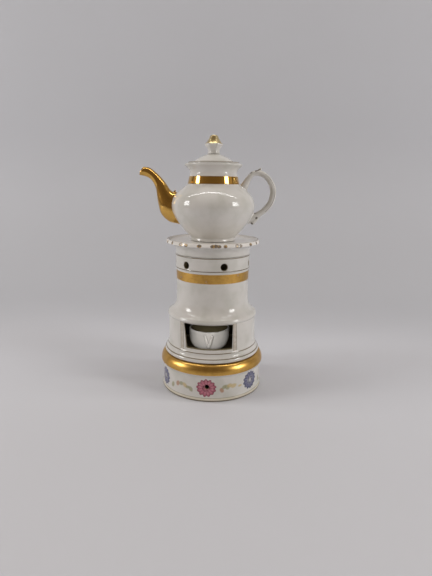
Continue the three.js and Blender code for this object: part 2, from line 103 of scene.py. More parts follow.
class TeapotColours(bpy.types.PropertyGroup):
    """Colours of the glaze, the gilding, the painting, the light and the stage"""

    white: colour("Glaze", "White of the glazed porcelain", (0.70, 0.682, 0.65))
    shade: colour("Thick glaze", "Greyer tint where the glaze lies thicker", (0.61, 0.60, 0.555))
    speck: colour("Speck", "Small dark specks in the glaze", (0.16, 0.13, 0.09))
    gold: colour("Gold", "Burnished gilding", (0.80, 0.50, 0.13))
    brown_gold: colour("Thin gold", "Gilding where it is thin or rubbed", (0.42, 0.21, 0.05))
    pale_gold: colour("Pale gold", "Worn gilding of the knob", (0.76, 0.64, 0.34))
    pink: colour("Pink", "Petals of the pink flowers", (0.50, 0.135, 0.20))
    maroon: colour("Maroon", "Petal tips and strokes of the pink flowers", (0.17, 0.020, 0.042))
    blue: colour("Blue", "Petals of the blue flowers", (0.13, 0.135, 0.245))
    navy: colour("Dark blue", "Petal tips and strokes of the blue flowers", (0.022, 0.026, 0.085))
    olive: colour("Olive", "Green leaves of the sprays", (0.32, 0.31, 0.16))
    ochre: colour("Ochre", "Yellow leaves of the sprays", (0.58, 0.44, 0.18))
    rust: colour("Rust", "Red-brown leaves of the sprays", (0.44, 0.21, 0.10))
    # Soot and painted shade: dark colour over the insides of the stand, plinth, dish and oil cup
    soot_and_shade: colour("Soot", "Smoke stain inside the stand", (0.19, 0.155, 0.085))
    thin_soot_and_shade: colour("Thin soot", "Smoke stain where it is thinner", (0.24, 0.20, 0.105))
    cork: colour("Cork", "Cork of the float", (0.42, 0.27, 0.13))
    cork_shade: colour("Dark cork", "Darker grains of the cork", (0.24, 0.14, 0.06))
    cork_pit: colour("Cork pits", "Pits in the cork", (0.06, 0.035, 0.02))
    tin: colour("Tin", "Tinned sheet of the wick plate", (0.55, 0.55, 0.53))
    tin_stain: colour("Tin stain", "Stains on the wick plate", (0.20, 0.17, 0.13))
    cotton: colour("Cotton", "Waxed cotton of the wick", (0.70, 0.63, 0.48))
    cotton_shade: colour("Dark cotton", "Darker fibres of the wick", (0.42, 0.36, 0.25))
    char: colour("Char", "Charred top of the wick", (0.015, 0.013, 0.012))
    # Also painted shadow where it darkens the feet of the plinth and stand, the spout's joint and the
    # lid's edge
    line: colour("Line", "Thin worn gold lines", (0.17, 0.135, 0.08))
    bar: colour("Window bars", "Worn bars beside the lamp window", (0.44, 0.36, 0.27))
    # Rubbed gilding with painted sheen: the gold's bright reflection of the floor, painted in as pale
    # cream
    foot_rim_gold_and_sheen: colour("Foot rim", "Rubbed gilding just above the plinth's foot", (0.70, 0.62, 0.42))
    mark: colour("Edge marks", "Dark ground of the gold marks on the dish", (0.15, 0.105, 0.055))
    # Gilt dashes on the handle, painted in the dark that their gold reflects: painted reflection
    painted_dark_reflection: colour("Dark strokes", "Dark strokes on the handle", (0.075, 0.058, 0.040))
    # Painted light: a whiter glaze that brightens the oil cup in its dark chamber and the dish's top
    # and edge under the pot
    painted_light_white: colour("Oil cup", "Whiter porcelain of the oil cup", (0.86, 0.83, 0.79))
    floor: colour("Floor", "Paper of the floor", (0.64, 0.645, 0.68))
    # Painted shade: the paper is darker where the floor curves up
    bend: colour("Bend", "Paper where the floor curves up", (0.50, 0.507, 0.537))
    backdrop: colour("Backdrop", "Paper of the backdrop", (0.525, 0.532, 0.565))
    mottle: colour("Paper mottle", "Faint cloudiness of the paper", (0.3, 0.29, 0.29))
    dim_light: colour("Dim light", "Room light from where it is dim", (1.0, 0.74, 0.50))
    bright_light: colour("Bright light", "Room light from where it is bright", (1.0, 0.985, 0.965))


def sizes():
    return bpy.context.scene.teapot_sizes


def colours():
    return bpy.context.scene.teapot_colours


def foot_of(node):
    """Height of a node's lowest point in the frame."""
    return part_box(node)[0].z


# Outlines


def bezier(start, pull_start, pull_end, end, steps):
    """Points of a cubic curve from start to end."""
    corners = (start, pull_start, pull_end, end)
    points = []
    for step in range(steps + 1):
        t = step / steps
        shares = ((1 - t) ** 3, 3 * t * (1 - t) ** 2, 3 * t * t * (1 - t), t ** 3)
        points.append(tuple(sum(s * c[i] for s, c in zip(shares, corners)) for i in (0, 1)))
    return points


def quarter_round(centre, reach, rise, steps=14):
    """Points of a quarter of an ellipse, from its widest point up to its top."""
    angles = [math.pi / 2 * step / steps for step in range(steps + 1)]
    return [(centre[0] + reach * math.cos(a), centre[1] + rise * math.sin(a)) for a in angles]


def soften(corners, steps=4):
    """The outline with each corner that has a third number rounded by that much."""
    points = []
    for i, corner in enumerate(corners):
        here = Vector(corner[:2])
        if len(corner) < 3:
            points.append(here)
            continue
        before = Vector(corners[i - 1][:2]) - here
        after = Vector(corners[(i + 1) % len(corners)][:2]) - here
        start = here + before.normalized() * min(corner[2], before.length / 2)
        end = here + after.normalized() * min(corner[2], after.length / 2)
        for step in range(steps + 1):
            t = step / steps
            points.append(start * (1 - t) ** 2 + here * 2 * t * (1 - t) + end * t * t)
    return points


def refine(points, longest, loop=False):
    """The outline with extra points, so that no step is longer than the longest."""
    fine = []
    count = len(points)
    for i in range(count if loop else count - 1):
        start, end = points[i], points[(i + 1) % count]
        pieces = max(1, math.ceil((end - start).length / longest))
        fine += [start.lerp(end, piece / pieces) for piece in range(pieces)]
    return fine if loop else fine + [points[-1]]


def beside(outline, distance):
    """The outline moved sideways by a distance, to its right as it is walked."""
    moved = []
    for i, (radius, height) in enumerate(outline):
        before = outline[max(i - 1, 0)]
        after = outline[min(i + 1, len(outline) - 1)]
        along = Vector((after[0] - before[0], after[1] - before[1])).normalized()
        moved.append((radius + along.y * distance, height - along.x * distance))
    return moved


def round_edge(radius, height):
    """Edge of a round hole, as the place for a side of its patch and a share of that side."""

    def edge(side, share, grown):
        angle = math.radians(-135 + 90 * (side + share))
        reach = radius + grown
        return reach * math.cos(angle), height + reach * math.sin(angle)

    return edge


# Bodies


def off_line(start, end, point):
    """Distance of a point from a straight line between two others."""
    along = end - start
    share = (point - start).dot(along) / along.length_squared
    return (start + along * min(1, max(0, share)) - point).length


def clear_of(outline, point):
    """Distance of a point from an outline."""
    corners = [Vector(corner[:2]) for corner in outline]
    return min(off_line(a, b, point) for a, b in zip(corners, corners[1:]))


def at_angle(radius, height, angle):
    """A point at a radius, a height and an angle in radians round the axis."""
    return Vector((radius * math.sin(angle), -radius * math.cos(angle), height))


class Wall:
    """One outline swept round the axis, as a grid of corner numbers."""

    def __init__(self, body, outline, inside, loop):
        self.points = refine(soften(outline), sizes().fineness / MM, loop)
        self.loop = loop
        self.open_cells = set()
        self.rows = []
        for point in self.points:
            depth = inside(point) if callable(inside) else inside
            self.rows.append([
                body.corner(at_angle(point.x, point.y, TURN * j / body.columns), depth)
                for j in range(body.columns)
            ])

    def row_near(self, height, span):
        """The first row of the given span of rows that is nearest to a height."""
        low, high = span
        return min(range(low, high), key=lambda i: abs(self.points[i].y - height))

    def radius_at(self, height, start, end):
        """Radius of the wall at a height, between two of its rows."""
        for i in range(start, end):
            a, b = self.points[i], self.points[i + 1]
            if min(a.y, b.y) <= height <= max(a.y, b.y) and a.y != b.y:
                return a.x + (b.x - a.x) * (height - a.y) / (b.y - a.y)
        nearest = min(range(start, end + 1), key=lambda i: abs(self.points[i].y - height))
        return self.points[nearest].x


# Rings of faces round an opening: on the wall, down its rounded lip, and through the wall
FLAT_SHARES = (0.35, 0.7, 1.0)
LIP_STEPS = 4
PASSAGE_STEPS = 4
# Share of a lip's steps that stays free of the soot and painted shade
LIP_FREE_OF_SOOT_AND_SHADE = 0.35
# Corners nearer than this are one corner, and edges shorter than this are none, in metres
SAME_CORNER = 2e-6
SHORTEST_EDGE = 1e-7


class Body:
    """Corners and faces of one closed piece, in millimetres, before it becomes a mesh.

    Each corner has a tag, a number that the finish of the piece reads. On turned pieces it
    says how far inside the corner is, from 0 on the glazed outside to 1 in the soot and the
    painted shade.
    """

    def __init__(self, columns=None):
        self.columns = columns or sizes().columns
        self.corners = []
        self.tags = []
        self.faces = []
        self.walls = []

    def corner(self, point, tag=0.0):
        """Adds a corner and returns its number."""
        self.corners.append(Vector(point))
        self.tags.append(tag)
        return len(self.corners) - 1

    def wall(self, outline, inside=0.0, loop=False):
        """Adds a swept outline. Its tag is one number, or worked out from each point."""
        made = Wall(self, outline, inside, loop)
        self.walls.append(made)
        return made

    def bridge(self, ring, other):
        """Faces between two closed rings of as many corners."""
        for k in range(len(ring)):
            after = (k + 1) % len(ring)
            self.faces.append((ring[k], ring[after], other[after], other[k]))

    def cap(self, ring):
        """A fan of faces that closes a ring."""
        middle = sum((self.corners[n] for n in ring), Vector()) / len(ring)
        hub = self.corner(middle, self.tags[ring[0]])
        for k in range(len(ring)):
            self.faces.append((ring[k], ring[(k + 1) % len(ring)], hub))

    def tube(self, rings, ends="capped"):
        """Skins rings of (point, tag) pairs. Its ends are capped, joined or left open."""
        numbered = [[self.corner(point, tag) for point, tag in ring] for ring in rings]
        for ring, other in zip(numbered, numbered[1:]):
            self.bridge(ring, other)
        if ends == "joined":
            self.bridge(numbered[-1], numbered[0])
        if ends == "capped":
            self.cap(numbered[0])
            self.cap(numbered[-1])

    def patch(self, wall, span, middle, height, rows, columns):
        """Opens a patch of cells. Returns its rim, with sides and shares, and its end rows."""
        centre = wall.row_near(height, span)
        first = round(middle / (TURN / self.columns)) - columns // 2
        row_low, row_high = centre - rows // 2, centre - rows // 2 + rows
        for i in range(row_low, row_high):
            for j in range(first, first + columns):
                wall.open_cells.add((i, j % self.columns))
        ends = row_low, row_high
        if wall.points[row_low].y > wall.points[row_high].y:
            row_low, row_high = row_high, row_low
        up = 1 if row_high > row_low else -1
        rim = [(row_low, first + k, 0, k / columns) for k in range(columns)]
        rim += [(row_low + up * k, first + columns, 1, k / rows) for k in range(rows)]
        rim += [(row_high, first + columns - k, 2, k / columns) for k in range(columns)]
        rim += [(row_high - up * k, first, 3, k / rows) for k in range(rows)]
        corners = [wall.rows[i][j % self.columns] for i, j, _, _ in rim]
        return corners, [(side, share) for _, _, side, share in rim], ends

    def mouth(self, wall, span, middle, height, rows, columns, edge, lip):
        """Rings from the rim of a patch down to a rounded opening. Returns the deepest ring."""
        rim, places, (start, end) = self.patch(wall, span, middle, height, rows, columns)
        inward = -1 if wall.points[start].y < wall.points[end].y else 1
        rim_tag = self.tags[rim[0]]

        def on_wall(across, up, depth):
            radius = wall.radius_at(up, start, end)
            out = math.sqrt(radius * radius - across * across) + inward * depth
            turned = Vector((across, -out))
            turned.rotate(Matrix.Rotation(middle, 2))
            return Vector((turned.x, turned.y, up))

        flat = []
        for number in rim:
            spot = self.corners[number].xy.copy()
            spot.rotate(Matrix.Rotation(-middle, 2))
            flat.append((spot.x, self.corners[number].z))
        rings = [rim]
        opening = [edge(side, share, lip) for side, share in places]
        for share in FLAT_SHARES:
            rings.append([
                self.corner(on_wall(a + (c - a) * share, b + (d - b) * share, 0), rim_tag)
                for (a, b), (c, d) in zip(flat, opening)
            ])
        for step in range(1, LIP_STEPS + 1):
            angle = math.pi / 2 * step / LIP_STEPS
            grown = lip * (1 - math.sin(angle))
            sunk = lip * (1 - math.cos(angle))
            tag = max(rim_tag, step / LIP_STEPS - LIP_FREE_OF_SOOT_AND_SHADE)
            rings.append([
                self.corner(on_wall(*edge(side, share, grown), sunk), tag) for side, share in places
            ])
        for ring, other in zip(rings, rings[1:]):
            self.bridge(ring, other)
        return rings[-1]

    def pierce(self, outer, inner, middle, height, rows, columns, edge, lip):
        """A hole through two walls. Each wall comes with its span of rows."""
        front = self.mouth(*outer, middle, height, rows, columns, edge, lip)
        back = self.mouth(*inner, middle, height, rows, columns, edge, lip)
        ring = front
        for step in range(1, PASSAGE_STEPS):
            share = step / PASSAGE_STEPS
            between = [
                self.corner(self.corners[a].lerp(self.corners[b], share), 1.0)
                for a, b in zip(front, back)
            ]
            self.bridge(ring, between)
            ring = between
        self.bridge(ring, back)

    def mesh(self, name, lift=0.0, tag_name="inside"):
        """The finished mesh in metres, raised by a height in metres, with its tags."""
        for wall in self.walls:
            count = len(wall.rows)
            for i in range(count if wall.loop else count - 1):
                ring, other = wall.rows[i], wall.rows[(i + 1) % count]
                for j in range(self.columns):
                    if (i, j) not in wall.open_cells:
                        after = (j + 1) % self.columns
                        self.faces.append((ring[j], ring[after], other[after], other[j]))
        data = bpy.data.meshes.new(name)
        places = [(c.x * MM, c.y * MM, c.z * MM + lift) for c in self.corners]
        data.from_pydata(places, [], self.faces)
        layer = data.attributes.new(tag_name, "FLOAT", "POINT")
        layer.data.foreach_set("value", self.tags)
        work = bmesh.new()
        work.from_mesh(data)
        bmesh.ops.remove_doubles(work, verts=work.verts, dist=SAME_CORNER)
        bmesh.ops.dissolve_degenerate(work, edges=work.edges, dist=SHORTEST_EDGE)
        loose = [v for v in work.verts if not v.link_faces]
        bmesh.ops.delete(work, geom=loose, context="VERTS")
        bmesh.ops.recalc_face_normals(work, faces=work.faces)
        work.to_mesh(data)
        work.free()
        data.shade_smooth()
        return data


def show(name, data, body, slot, finish, *stands_for):
    """A finished piece in the scene: it rides on its body and stands for its node."""
    piece = bpy.data.objects.new(name, data)
    bpy.context.scene.collection.objects.link(piece)
    data.materials.append(finish)
    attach(piece, body)
    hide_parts(*stands_for)
    return piece


def cut(piece, cutters):
    """Cuts small holes, given as meshes, out of a piece."""
    for data in cutters:
        tool = bpy.data.objects.new("hole_tool", data)
        bpy.context.scene.collection.objects.link(tool)
        change = piece.modifiers.new("hole", "BOOLEAN")
        change.operation = "DIFFERENCE"
        change.solver = "EXACT"
        change.object = tool
        bpy.context.view_layer.update()
        shaped = bpy.data.meshes.new_from_object(
            piece.evaluated_get(bpy.context.evaluated_depsgraph_get())
        )
        piece.modifiers.clear()
        piece.data = shaped
        bpy.data.objects.remove(tool)


def rod(name, radius, start, end, sides=24):
    """A plain round rod between two points in metres, for cutting holes."""
    work = bmesh.new()
    along = Vector(end) - Vector(start)
    turned = along.to_track_quat("Z", "Y").to_matrix().to_4x4()
    middle = Matrix.Translation((Vector(start) + Vector(end)) / 2)
    bmesh.ops.create_cone(
        work, cap_ends=True, segments=sides, radius1=radius, radius2=radius,
        depth=along.length, matrix=middle @ turned,
    )
    data = bpy.data.meshes.new(name)
    work.to_mesh(data)
    work.free()
    return data


# Shader maths


class Value:
    """A node's output, which ordinary arithmetic turns into Math nodes."""

    def __init__(self, paint, socket):
        self.paint = paint
        self.socket = socket

    def __add__(self, other):
        return self.paint.math("ADD", self, other)

    def __radd__(self, other):
        return self.paint.math("ADD", other, self)

    def __sub__(self, other):
        return self.paint.math("SUBTRACT", self, other)

    def __rsub__(self, other):
        return self.paint.math("SUBTRACT", other, self)

    def __mul__(self, other):
        return self.paint.math("MULTIPLY", self, other)

    def __rmul__(self, other):
        return self.paint.math("MULTIPLY", other, self)

    def __truediv__(self, other):
        return self.paint.math("DIVIDE", self, other)

    def __rtruediv__(self, other):
        return self.paint.math("DIVIDE", other, self)

    def __pow__(self, other):
        return self.paint.math("POWER", self, other)

    def __neg__(self):
        return self.paint.math("MULTIPLY", self, -1)

    def __abs__(self):
        return self.paint.math("ABSOLUTE", self)


class Paint:
    """The nodes of a material, or of the world's light, under construction."""

    def __init__(self, name, world=False):
        self.owner = (bpy.data.worlds if world else bpy.data.materials).new(name)
        self.owner.use_nodes = True
        self.tree = self.owner.node_tree
        self.tree.nodes.clear()

    def node(self, kind, settings=None, values=None, output=0):
        """Adds a node with its settings first, then the values or links of its sockets.

        A ramp's settings are its interpolation and its stops. A tuple of outputs gives a list.
        """
        made = self.tree.nodes.new(kind)
        target = made.color_ramp if kind == "ShaderNodeValToRGB" else made
        for key, setting in (settings or {}).items():
            if key == "stops":
                self.set_stops(target, setting)
            else:
                setattr(target, key, setting)
        for key, value in (values or {}).items():
            socket = made.inputs[key]
            if isinstance(value, Value):
                self.tree.links.new(value.socket, socket)
            elif socket.type == "RGBA":
                socket.default_value = (*value, 1)
            else:
                socket.default_value = value
        if isinstance(output, tuple):
            return [Value(self, made.outputs[one]) for one in output]
        return Value(self, made.outputs[output]) if made.outputs else None

    @staticmethod
    def set_stops(ramp, stops):
        """Gives a ramp its places and colours."""
        while len(ramp.elements) < len(stops):
            ramp.elements.new(0.5)
        for element, (place, shade) in zip(ramp.elements, stops):
            element.position = place
            element.color = (*shade, 1)

    def math(self, operation, *inputs):
        """A Math node on one, two or three numbers or values."""
        return self.node("ShaderNodeMath", {"operation": operation}, dict(enumerate(inputs)))

    def place(self):
        """The object's own coordinates in millimetres, as a vector."""
        spot = self.node("ShaderNodeTexCoord", output="Object")
        return self.node(
            "ShaderNodeVectorMath", {"operation": "SCALE"}, {0: spot, "Scale": 1 / MM}
        )

    def parts(self, vector):
        """The X, Y and Z of a vector."""
        return self.node("ShaderNodeSeparateXYZ", None, {0: vector}, output=(0, 1, 2))

    def vector(self, x, y, z):
        """A vector from three numbers or values."""
        return self.node("ShaderNodeCombineXYZ", None, {0: x, 1: y, 2: z})

    def attribute(self, name):
        """The tag of that name on the mesh."""
        return self.node("ShaderNodeAttribute", {"attribute_name": name}, output="Fac")

    def noise(self, vector, scale, detail, roughness=0.5):
        """Noise from 0 to 1. The scale is in waves for each millimetre."""
        return self.node(
            "ShaderNodeTexNoise",
            None,
            {"Vector": vector, "Scale": scale, "Detail": detail, "Roughness": roughness},
        )

    def fade(self, value, start, end, low=0.0, high=1.0):
        """Smoothly from low, where the value is at start or before, to high at end or past it."""
        limits = {"From Min": start, "From Max": end, "To Min": low, "To Max": high}
        return self.node(
            "ShaderNodeMapRange", {"interpolation_type": "SMOOTHSTEP"}, {"Value": value, **limits}
        )

    def within(self, value, low, high, soft):
        """1 between low and high, fading to 0 over a soft edge."""
        up = self.fade(value, low - soft, low + soft)
        return up * (1 - self.fade(value, high - soft, high + soft))

    def repeated(self, value, span):
        """The value brought back into one span about 0, as often as it takes."""
        return self.math("WRAP", value, span / 2, -span / 2)

    def most(self, first, second):
        """The greater of two numbers or values."""
        return self.math("MAXIMUM", first, second)

    def mix(self, share, first, second):
        """From the first colour to the second."""
        return self.node(
            "ShaderNodeMix", {"data_type": "RGBA"}, {0: share, 6: first, 7: second}, output=2
        )

    def blend(self, share, first, second):
        """From the first number to the second."""
        return self.node("ShaderNodeMix", {"data_type": "FLOAT"}, {0: share, 2: first, 3: second})

    def bump(self, height):
        """A Normal from a height in millimetres."""
        return self.node(
            "ShaderNodeBump", None, {"Strength": 1.0, "Distance": MM, "Height": height}
        )

    def surface(self, **values):
        """Ends the material with its shader. A socket's words are joined by _ here."""
        named = {key.replace("_", " "): value for key, value in values.items()}
        shader = self.node("ShaderNodeBsdfPrincipled", None, named)
        self.node("ShaderNodeOutputMaterial", None, {"Surface": shader})
        return self.owner


class Glaze:
    """Glazed porcelain of one node, that layers of gold, enamel and soot are laid on."""

    def __init__(self, name, node, white=None, shade=None):
        tints = colours()
        self.paint = paint = Paint(name)
        self.spot = paint.place()
        self.x, self.y, self.z = paint.parts(self.spot)
        self.up = self.z - foot_of(node) / MM
        self.angle = paint.math("ARCTAN2", self.x, -self.y) * math.degrees(1)
        drift = paint.noise(self.spot, 0.055, 3)
        fine = paint.noise(self.spot, 1.6, 2)
        pooled = paint.fade(drift, 0.42, 0.72)
        glazed = paint.mix(pooled, white or tints.white, shade or tints.shade)
        specks = paint.node("ShaderNodeTexVoronoi", None, {"Vector": self.spot, "Scale": 0.11})
        speck = 1 - paint.fade(specks, 0.010, 0.022)
        self.colour = paint.mix(speck * 0.55, glazed, tints.speck)
        self.rough = 0.075 + paint.fade(fine, 0.35, 0.8) * 0.05
        self.metal = None
        self.height = drift * 0.12 + fine * 0.0015

    def radius(self):
        """Distance from the axis in millimetres."""
        return (self.x * self.x + self.y * self.y) ** 0.5

    def line(self, height, half_width, wobble):
        """Mask of a line painted by hand round the axis, at a height above the piece's foot."""
        paint = self.paint
        sway = paint.noise(paint.vector(self.x, self.y, 0.0), 0.06, 2)
        off = self.up - height + (sway - 0.5) * wobble * 2
        thickness = half_width * (0.8 + sway * 0.4)
        return 1 - paint.fade(abs(off) - thickness, -0.06, 0.10)

    def band(self, low, high, wobble=0.15):
        """Mask of a band painted by hand round the axis, between two heights above the foot."""
        paint = self.paint
        sway = paint.noise(paint.vector(self.x, self.y, 0.0), 0.09, 3)
        return paint.within(self.up + (sway - 0.5) * wobble * 2, low, high, 0.08)

    def stroke(self, across, up, half_long, half_wide, slant, ragged, soft):
        """Mask of one slanted brush stroke, from millimetres across and up from its middle."""
        lean = math.radians(slant)
        along = (across * math.cos(lean) + up * math.sin(lean)) / half_long
        aside = (up * math.cos(lean) - across * math.sin(lean)) / half_wide
        return 1 - self.paint.fade(along * along + aside * aside + ragged, *soft)

    def enamel(self, mask, shade, rough=0.2, rise=0.02):
        """Coloured enamel over the glaze where the mask is 1."""
        paint = self.paint
        self.colour = paint.mix(mask, self.colour, shade)
        self.rough = paint.blend(mask, self.rough, rough)
        self.height = self.height + mask * rise

    def gild(self, mask, rough, wear, brushed=0.12, brown=0.55, leaf_tone=None):
        """Gold leaf over the glaze where the mask is 1, rubbed thin in places."""
        paint = self.paint
        tints = colours()
        streaks = paint.noise(paint.vector(self.angle * 0.03, self.z * 2.4, 0.0), 1.0, 3, 0.6)
        patches = paint.noise(self.spot, 0.16, 4, 0.6)
        rubbed = paint.fade(patches + streaks * 0.35, 0.86 - 0.25 * wear, 1.0 - 0.2 * wear)
        thin = paint.fade(patches * 0.6 + streaks * 0.5, 0.42, 0.75)
        leaf = mask * (1 - rubbed * wear * 2)
        tone = paint.mix(brown * (0.4 + thin * 0.6), leaf_tone or tints.gold, tints.brown_gold)
        self.colour = paint.mix(leaf, self.colour, tone)
        self.metal = paint.most(self.metal, leaf) if self.metal else leaf
        self.rough = paint.blend(leaf, self.rough, rough + streaks * brushed)
        self.height = self.height + mask * 0.02 + leaf * streaks * brushed * 0.02

    def paint_soot_and_shade(self):
        """Soot and painted shade over everything on the inside of a turned piece."""
        paint = self.paint
        tints = colours()
        cloud = paint.noise(self.spot, 0.12, 4, 0.6)
        cover = paint.fade(paint.attribute("inside") + (cloud - 0.5) * 0.35, 0.2, 0.6)
        self.colour = paint.mix(cover, self.colour, paint.mix(cloud, tints.soot_and_shade, tints.thin_soot_and_shade))
        self.rough = paint.blend(cover, self.rough, 0.62)
        if self.metal:
            self.metal = self.metal * (1 - cover)

    def finish(self):
        """The material with all its layers."""
        return self.paint.surface(
            Base_Color=self.colour,
            Metallic=self.metal or 0.0,
            Roughness=self.rough,
            IOR=1.52,
            Normal=self.paint.bump(self.height),
        )


# Plinth


FLOWER_HEIGHT = 13.9
# How tall a flower is, as a share of its width
FLOWER_SQUASH = 0.93
PETALS = 13
# Each flower's shift round the axis in degrees, shift up in mm and twist in degrees
FLOWER_SHIFTS = (
    (-0.7, -0.5, 4),
    (-5.8, 0.7, 17),
    (-1.5, 0.4, 9),
    (1.0, -0.3, 22),
    (-2.0, 0.6, 2),
    (-2.0, -0.9, 13),
)
# The shifts reach at most this far either way, and the twist this far from 0
SHIFT_REACH = 10
RISE_REACH = 2
TWIST_REACH = 40
# The white band lies this far inside the widest part of the plinth
BAND_SET_BACK = 1.8
# Leaves of the sprays beside a pink flower: angle, height, half length, half width, slant, colour
SPRAYS = (
    (-44.0, 9.6, 2.6, 1.7, 65, "olive"),
    (-35.8, 12.9, 2.4, 1.8, 60, "rust"),
    (-30.8, 13.9, 2.2, 1.7, 20, "olive"),
    (-25.8, 13.2, 2.4, 1.8, -40, "ochre"),
    (-22.2, 11.9, 1.9, 1.3, 10, "olive"),
    (-18.4, 10.8, 2.4, 1.7, -55, "olive"),
    (16.4, 11.0, 2.2, 1.6, -60, "rust"),
    (18.8, 14.0, 2.0, 1.5, 50, "olive"),
    (22.2, 13.7, 2.4, 1.8, -50, "olive"),
    (25.2, 15.0, 2.2, 1.6, 20, "ochre"),
    (30.0, 14.1, 2.8, 1.8, 10, "ochre"),
    (38.4, 12.7, 2.0, 0.9, 5, "ochre"),
)


def flower_masks(glaze, across, up, twist):
    """Whole, dark strokes and distance from the middle of a flower, from a place in mm."""
    paint = glaze.paint
    radius = sizes().flower_radius / MM
    up = up / FLOWER_SQUASH
    far = (across * across + up * up) ** 0.5
    direction = paint.math("ARCTAN2", up, across) * math.degrees(1) + twist
    sway = paint.noise(glaze.spot, 0.55, 2)
    scallop = abs(paint.math("SINE", direction * math.radians(PETALS / 2)))
    edge = radius * (0.78 + scallop * 0.16 + sway * 0.14)
    whole = 1 - paint.fade(far - edge, -0.35, 0.25)
    notch = 1 - paint.fade(scallop, 0.25, 0.6)
    tips = paint.fade(far / edge, 0.70, 0.92) * (0.55 + notch * 0.45)
    ring = paint.within(far / radius, 0.20, 0.42, 0.06) * (0.3 + paint.fade(sway, 0.42, 0.58) * 0.7)
    veins = notch * paint.within(far / radius, 0.42, 0.8, 0.1) * 0.5
    return whole, paint.most(paint.most(tips, ring), veins), far / radius


def shifts_of(paint, cell):
    """Shift, rise and twist of the flower in a cell, read from a ramp with a step for each."""
    count = len(FLOWER_SHIFTS)
    stops = []
    for i, (shift, rise, twist) in enumerate(FLOWER_SHIFTS):
        red = (shift + SHIFT_REACH) / (2 * SHIFT_REACH)
        green = (rise + RISE_REACH) / (2 * RISE_REACH)
        stops.append((i / count, (red, green, twist / TWIST_REACH)))
    tone = paint.node(
        "ShaderNodeValToRGB",
        {"interpolation": "CONSTANT", "stops": stops},
        {0: (cell + 0.5) / count},
    )
    red, green, blue = paint.node("ShaderNodeSeparateColor", None, {0: tone}, output=(0, 1, 2))
    shift = red * (2 * SHIFT_REACH) - SHIFT_REACH
    rise = green * (2 * RISE_REACH) - RISE_REACH
    return shift, rise, blue * TWIST_REACH


def paint_flowers(glaze, arc):
    """Flowers in turn pink and blue round the white band. The arc is a degree of it in mm."""
    paint = glaze.paint
    tints = colours()
    step = 360 / len(FLOWER_SHIFTS)
    turn = paint.math("WRAP", glaze.angle, 360 - step / 2, -step / 2)
    cell = paint.math("FLOOR", (turn + step / 2) / step)
    shift, rise, twist = shifts_of(paint, cell)
    across = (turn - cell * step - shift) * arc
    whole, dark, far = flower_masks(glaze, across, glaze.up - FLOWER_HEIGHT - rise, twist)
    odd = paint.math("MODULO", cell, 2.0)
    petal = paint.mix(odd, tints.pink, tints.blue)
    deep = paint.mix(odd, tints.maroon, tints.navy)
    wash = paint.noise(glaze.spot, 0.7, 3)
    pale = paint.mix(paint.fade(wash, 0.45, 0.75) * 0.25, petal, tints.white)
    pale = paint.mix(odd * (1 - paint.fade(far, 0.25, 0.55)) * 0.6, pale, tints.white)
    cover = whole * (0.97 - paint.fade(wash, 0.5, 0.9) * 0.1)
    glaze.enamel(cover, paint.mix(dark, pale, deep), rough=0.16)


def paint_sprays(glaze, arc):
    """The two sprays beside each pink flower."""
    paint = glaze.paint
    pair = paint.repeated(glaze.angle, 720 / len(FLOWER_SHIFTS))
    ragged = paint.noise(glaze.spot, 0.8, 3) * 0.9
    for at, height, half_long, half_wide, slant, tint in SPRAYS:
        across, up = (pair - at) * arc, glaze.up - height
        leaf = glaze.stroke(across, up, half_long, half_wide, slant, ragged, (0.9, 2.6))
        glaze.enamel(leaf * 0.75, getattr(colours(), tint))


def plinth_finish():
    glaze = Glaze("painted porcelain", "base_plinth")
    arc = math.radians(1) * (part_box("base_plinth")[1].x / MM - BAND_SET_BACK)
    paint_flowers(glaze, arc)
    paint_sprays(glaze, arc)
    outside = glaze.paint.fade(glaze.radius(), 44.2, 44.6)
    glaze.gild(glaze.band(26.3, 36.2, 0.1) * outside, rough=0.24, wear=0.12, brown=0.7)
    # Rubbed gilding above the foot, with its reflection of the floor painted in as a pale cream sheen
    glaze.enamel(glaze.band(1.2, 3.3, 0.1) * 0.5, colours().foot_rim_gold_and_sheen, rough=0.15)
    # A dark band at the very foot: a worn gold line with painted contact shadow where the plinth meets
    # the floor
    glaze.enamel(glaze.band(-0.2, 1.3, 0.1) * 0.9, colours().line, rough=0.22)
    glaze.enamel(glaze.line(3.4, 0.25, 0.08) * 0.5, colours().line, rough=0.22)
    glaze.paint_soot_and_shade()
    return glaze.finish()


KILN_VENT_HEIGHT = 14.4
KILN_VENT_RADIUS = 2.1


def plinth_mesh():
    body = Body()
    outer = body.wall([
        (0, 0),
        (49.5, 0, 0.6),
        (49.5, 2.5, 0.9),
        (48.75, 4.2, 0.9),
        (48.4, 23.6, 1.5),
        (49.8, 25.2, 0.8),
        *quarter_round((45.2, 26.6), 5.4, 8.9),
        (40.4, 35.5, 0.5),
        (40.2, 37.7, 0.6),
        (38.2, 37.7, 0.6),
        (38.2, 35.5, 0.5),
        (0, 35.5),
    ])
    hollow = body.wall([(0, 4), (44.4, 4, 2), (44.4, 31.5, 4), (0, 31.5)], inside=1.0)
    sides = (outer, (0, len(outer.points) // 2)), (hollow, (0, len(hollow.points)))
    edge = round_edge(KILN_VENT_RADIUS, KILN_VENT_HEIGHT)
    body.pierce(*sides, 0, KILN_VENT_HEIGHT, rows=6, columns=4, edge=edge, lip=0.5)
    return body.mesh("base_plinth_fine")


# Stand


DRUM_RADIUS = 42.6
WINDOW_SILL = 12.2
WINDOW_HEAD = 35.7
WINDOW_RIGHT = 22.15
WINDOW_LEFT_FOOT = -20.45
WINDOW_LEFT_HEAD = -22.8
WINDOW_CORNER = 1.6
# How far the points of the window's rim are gathered towards its corners, as a share
WINDOW_GATHERING = 0.45
# The patch of faces that the window is cut in reaches this far above and below the window, its
# middle lies this much higher than the window's, and it spans this angle each way
PATCH_MARGIN = 2
PATCH_RISE = 0.2
PATCH_ANGLE = 35.5
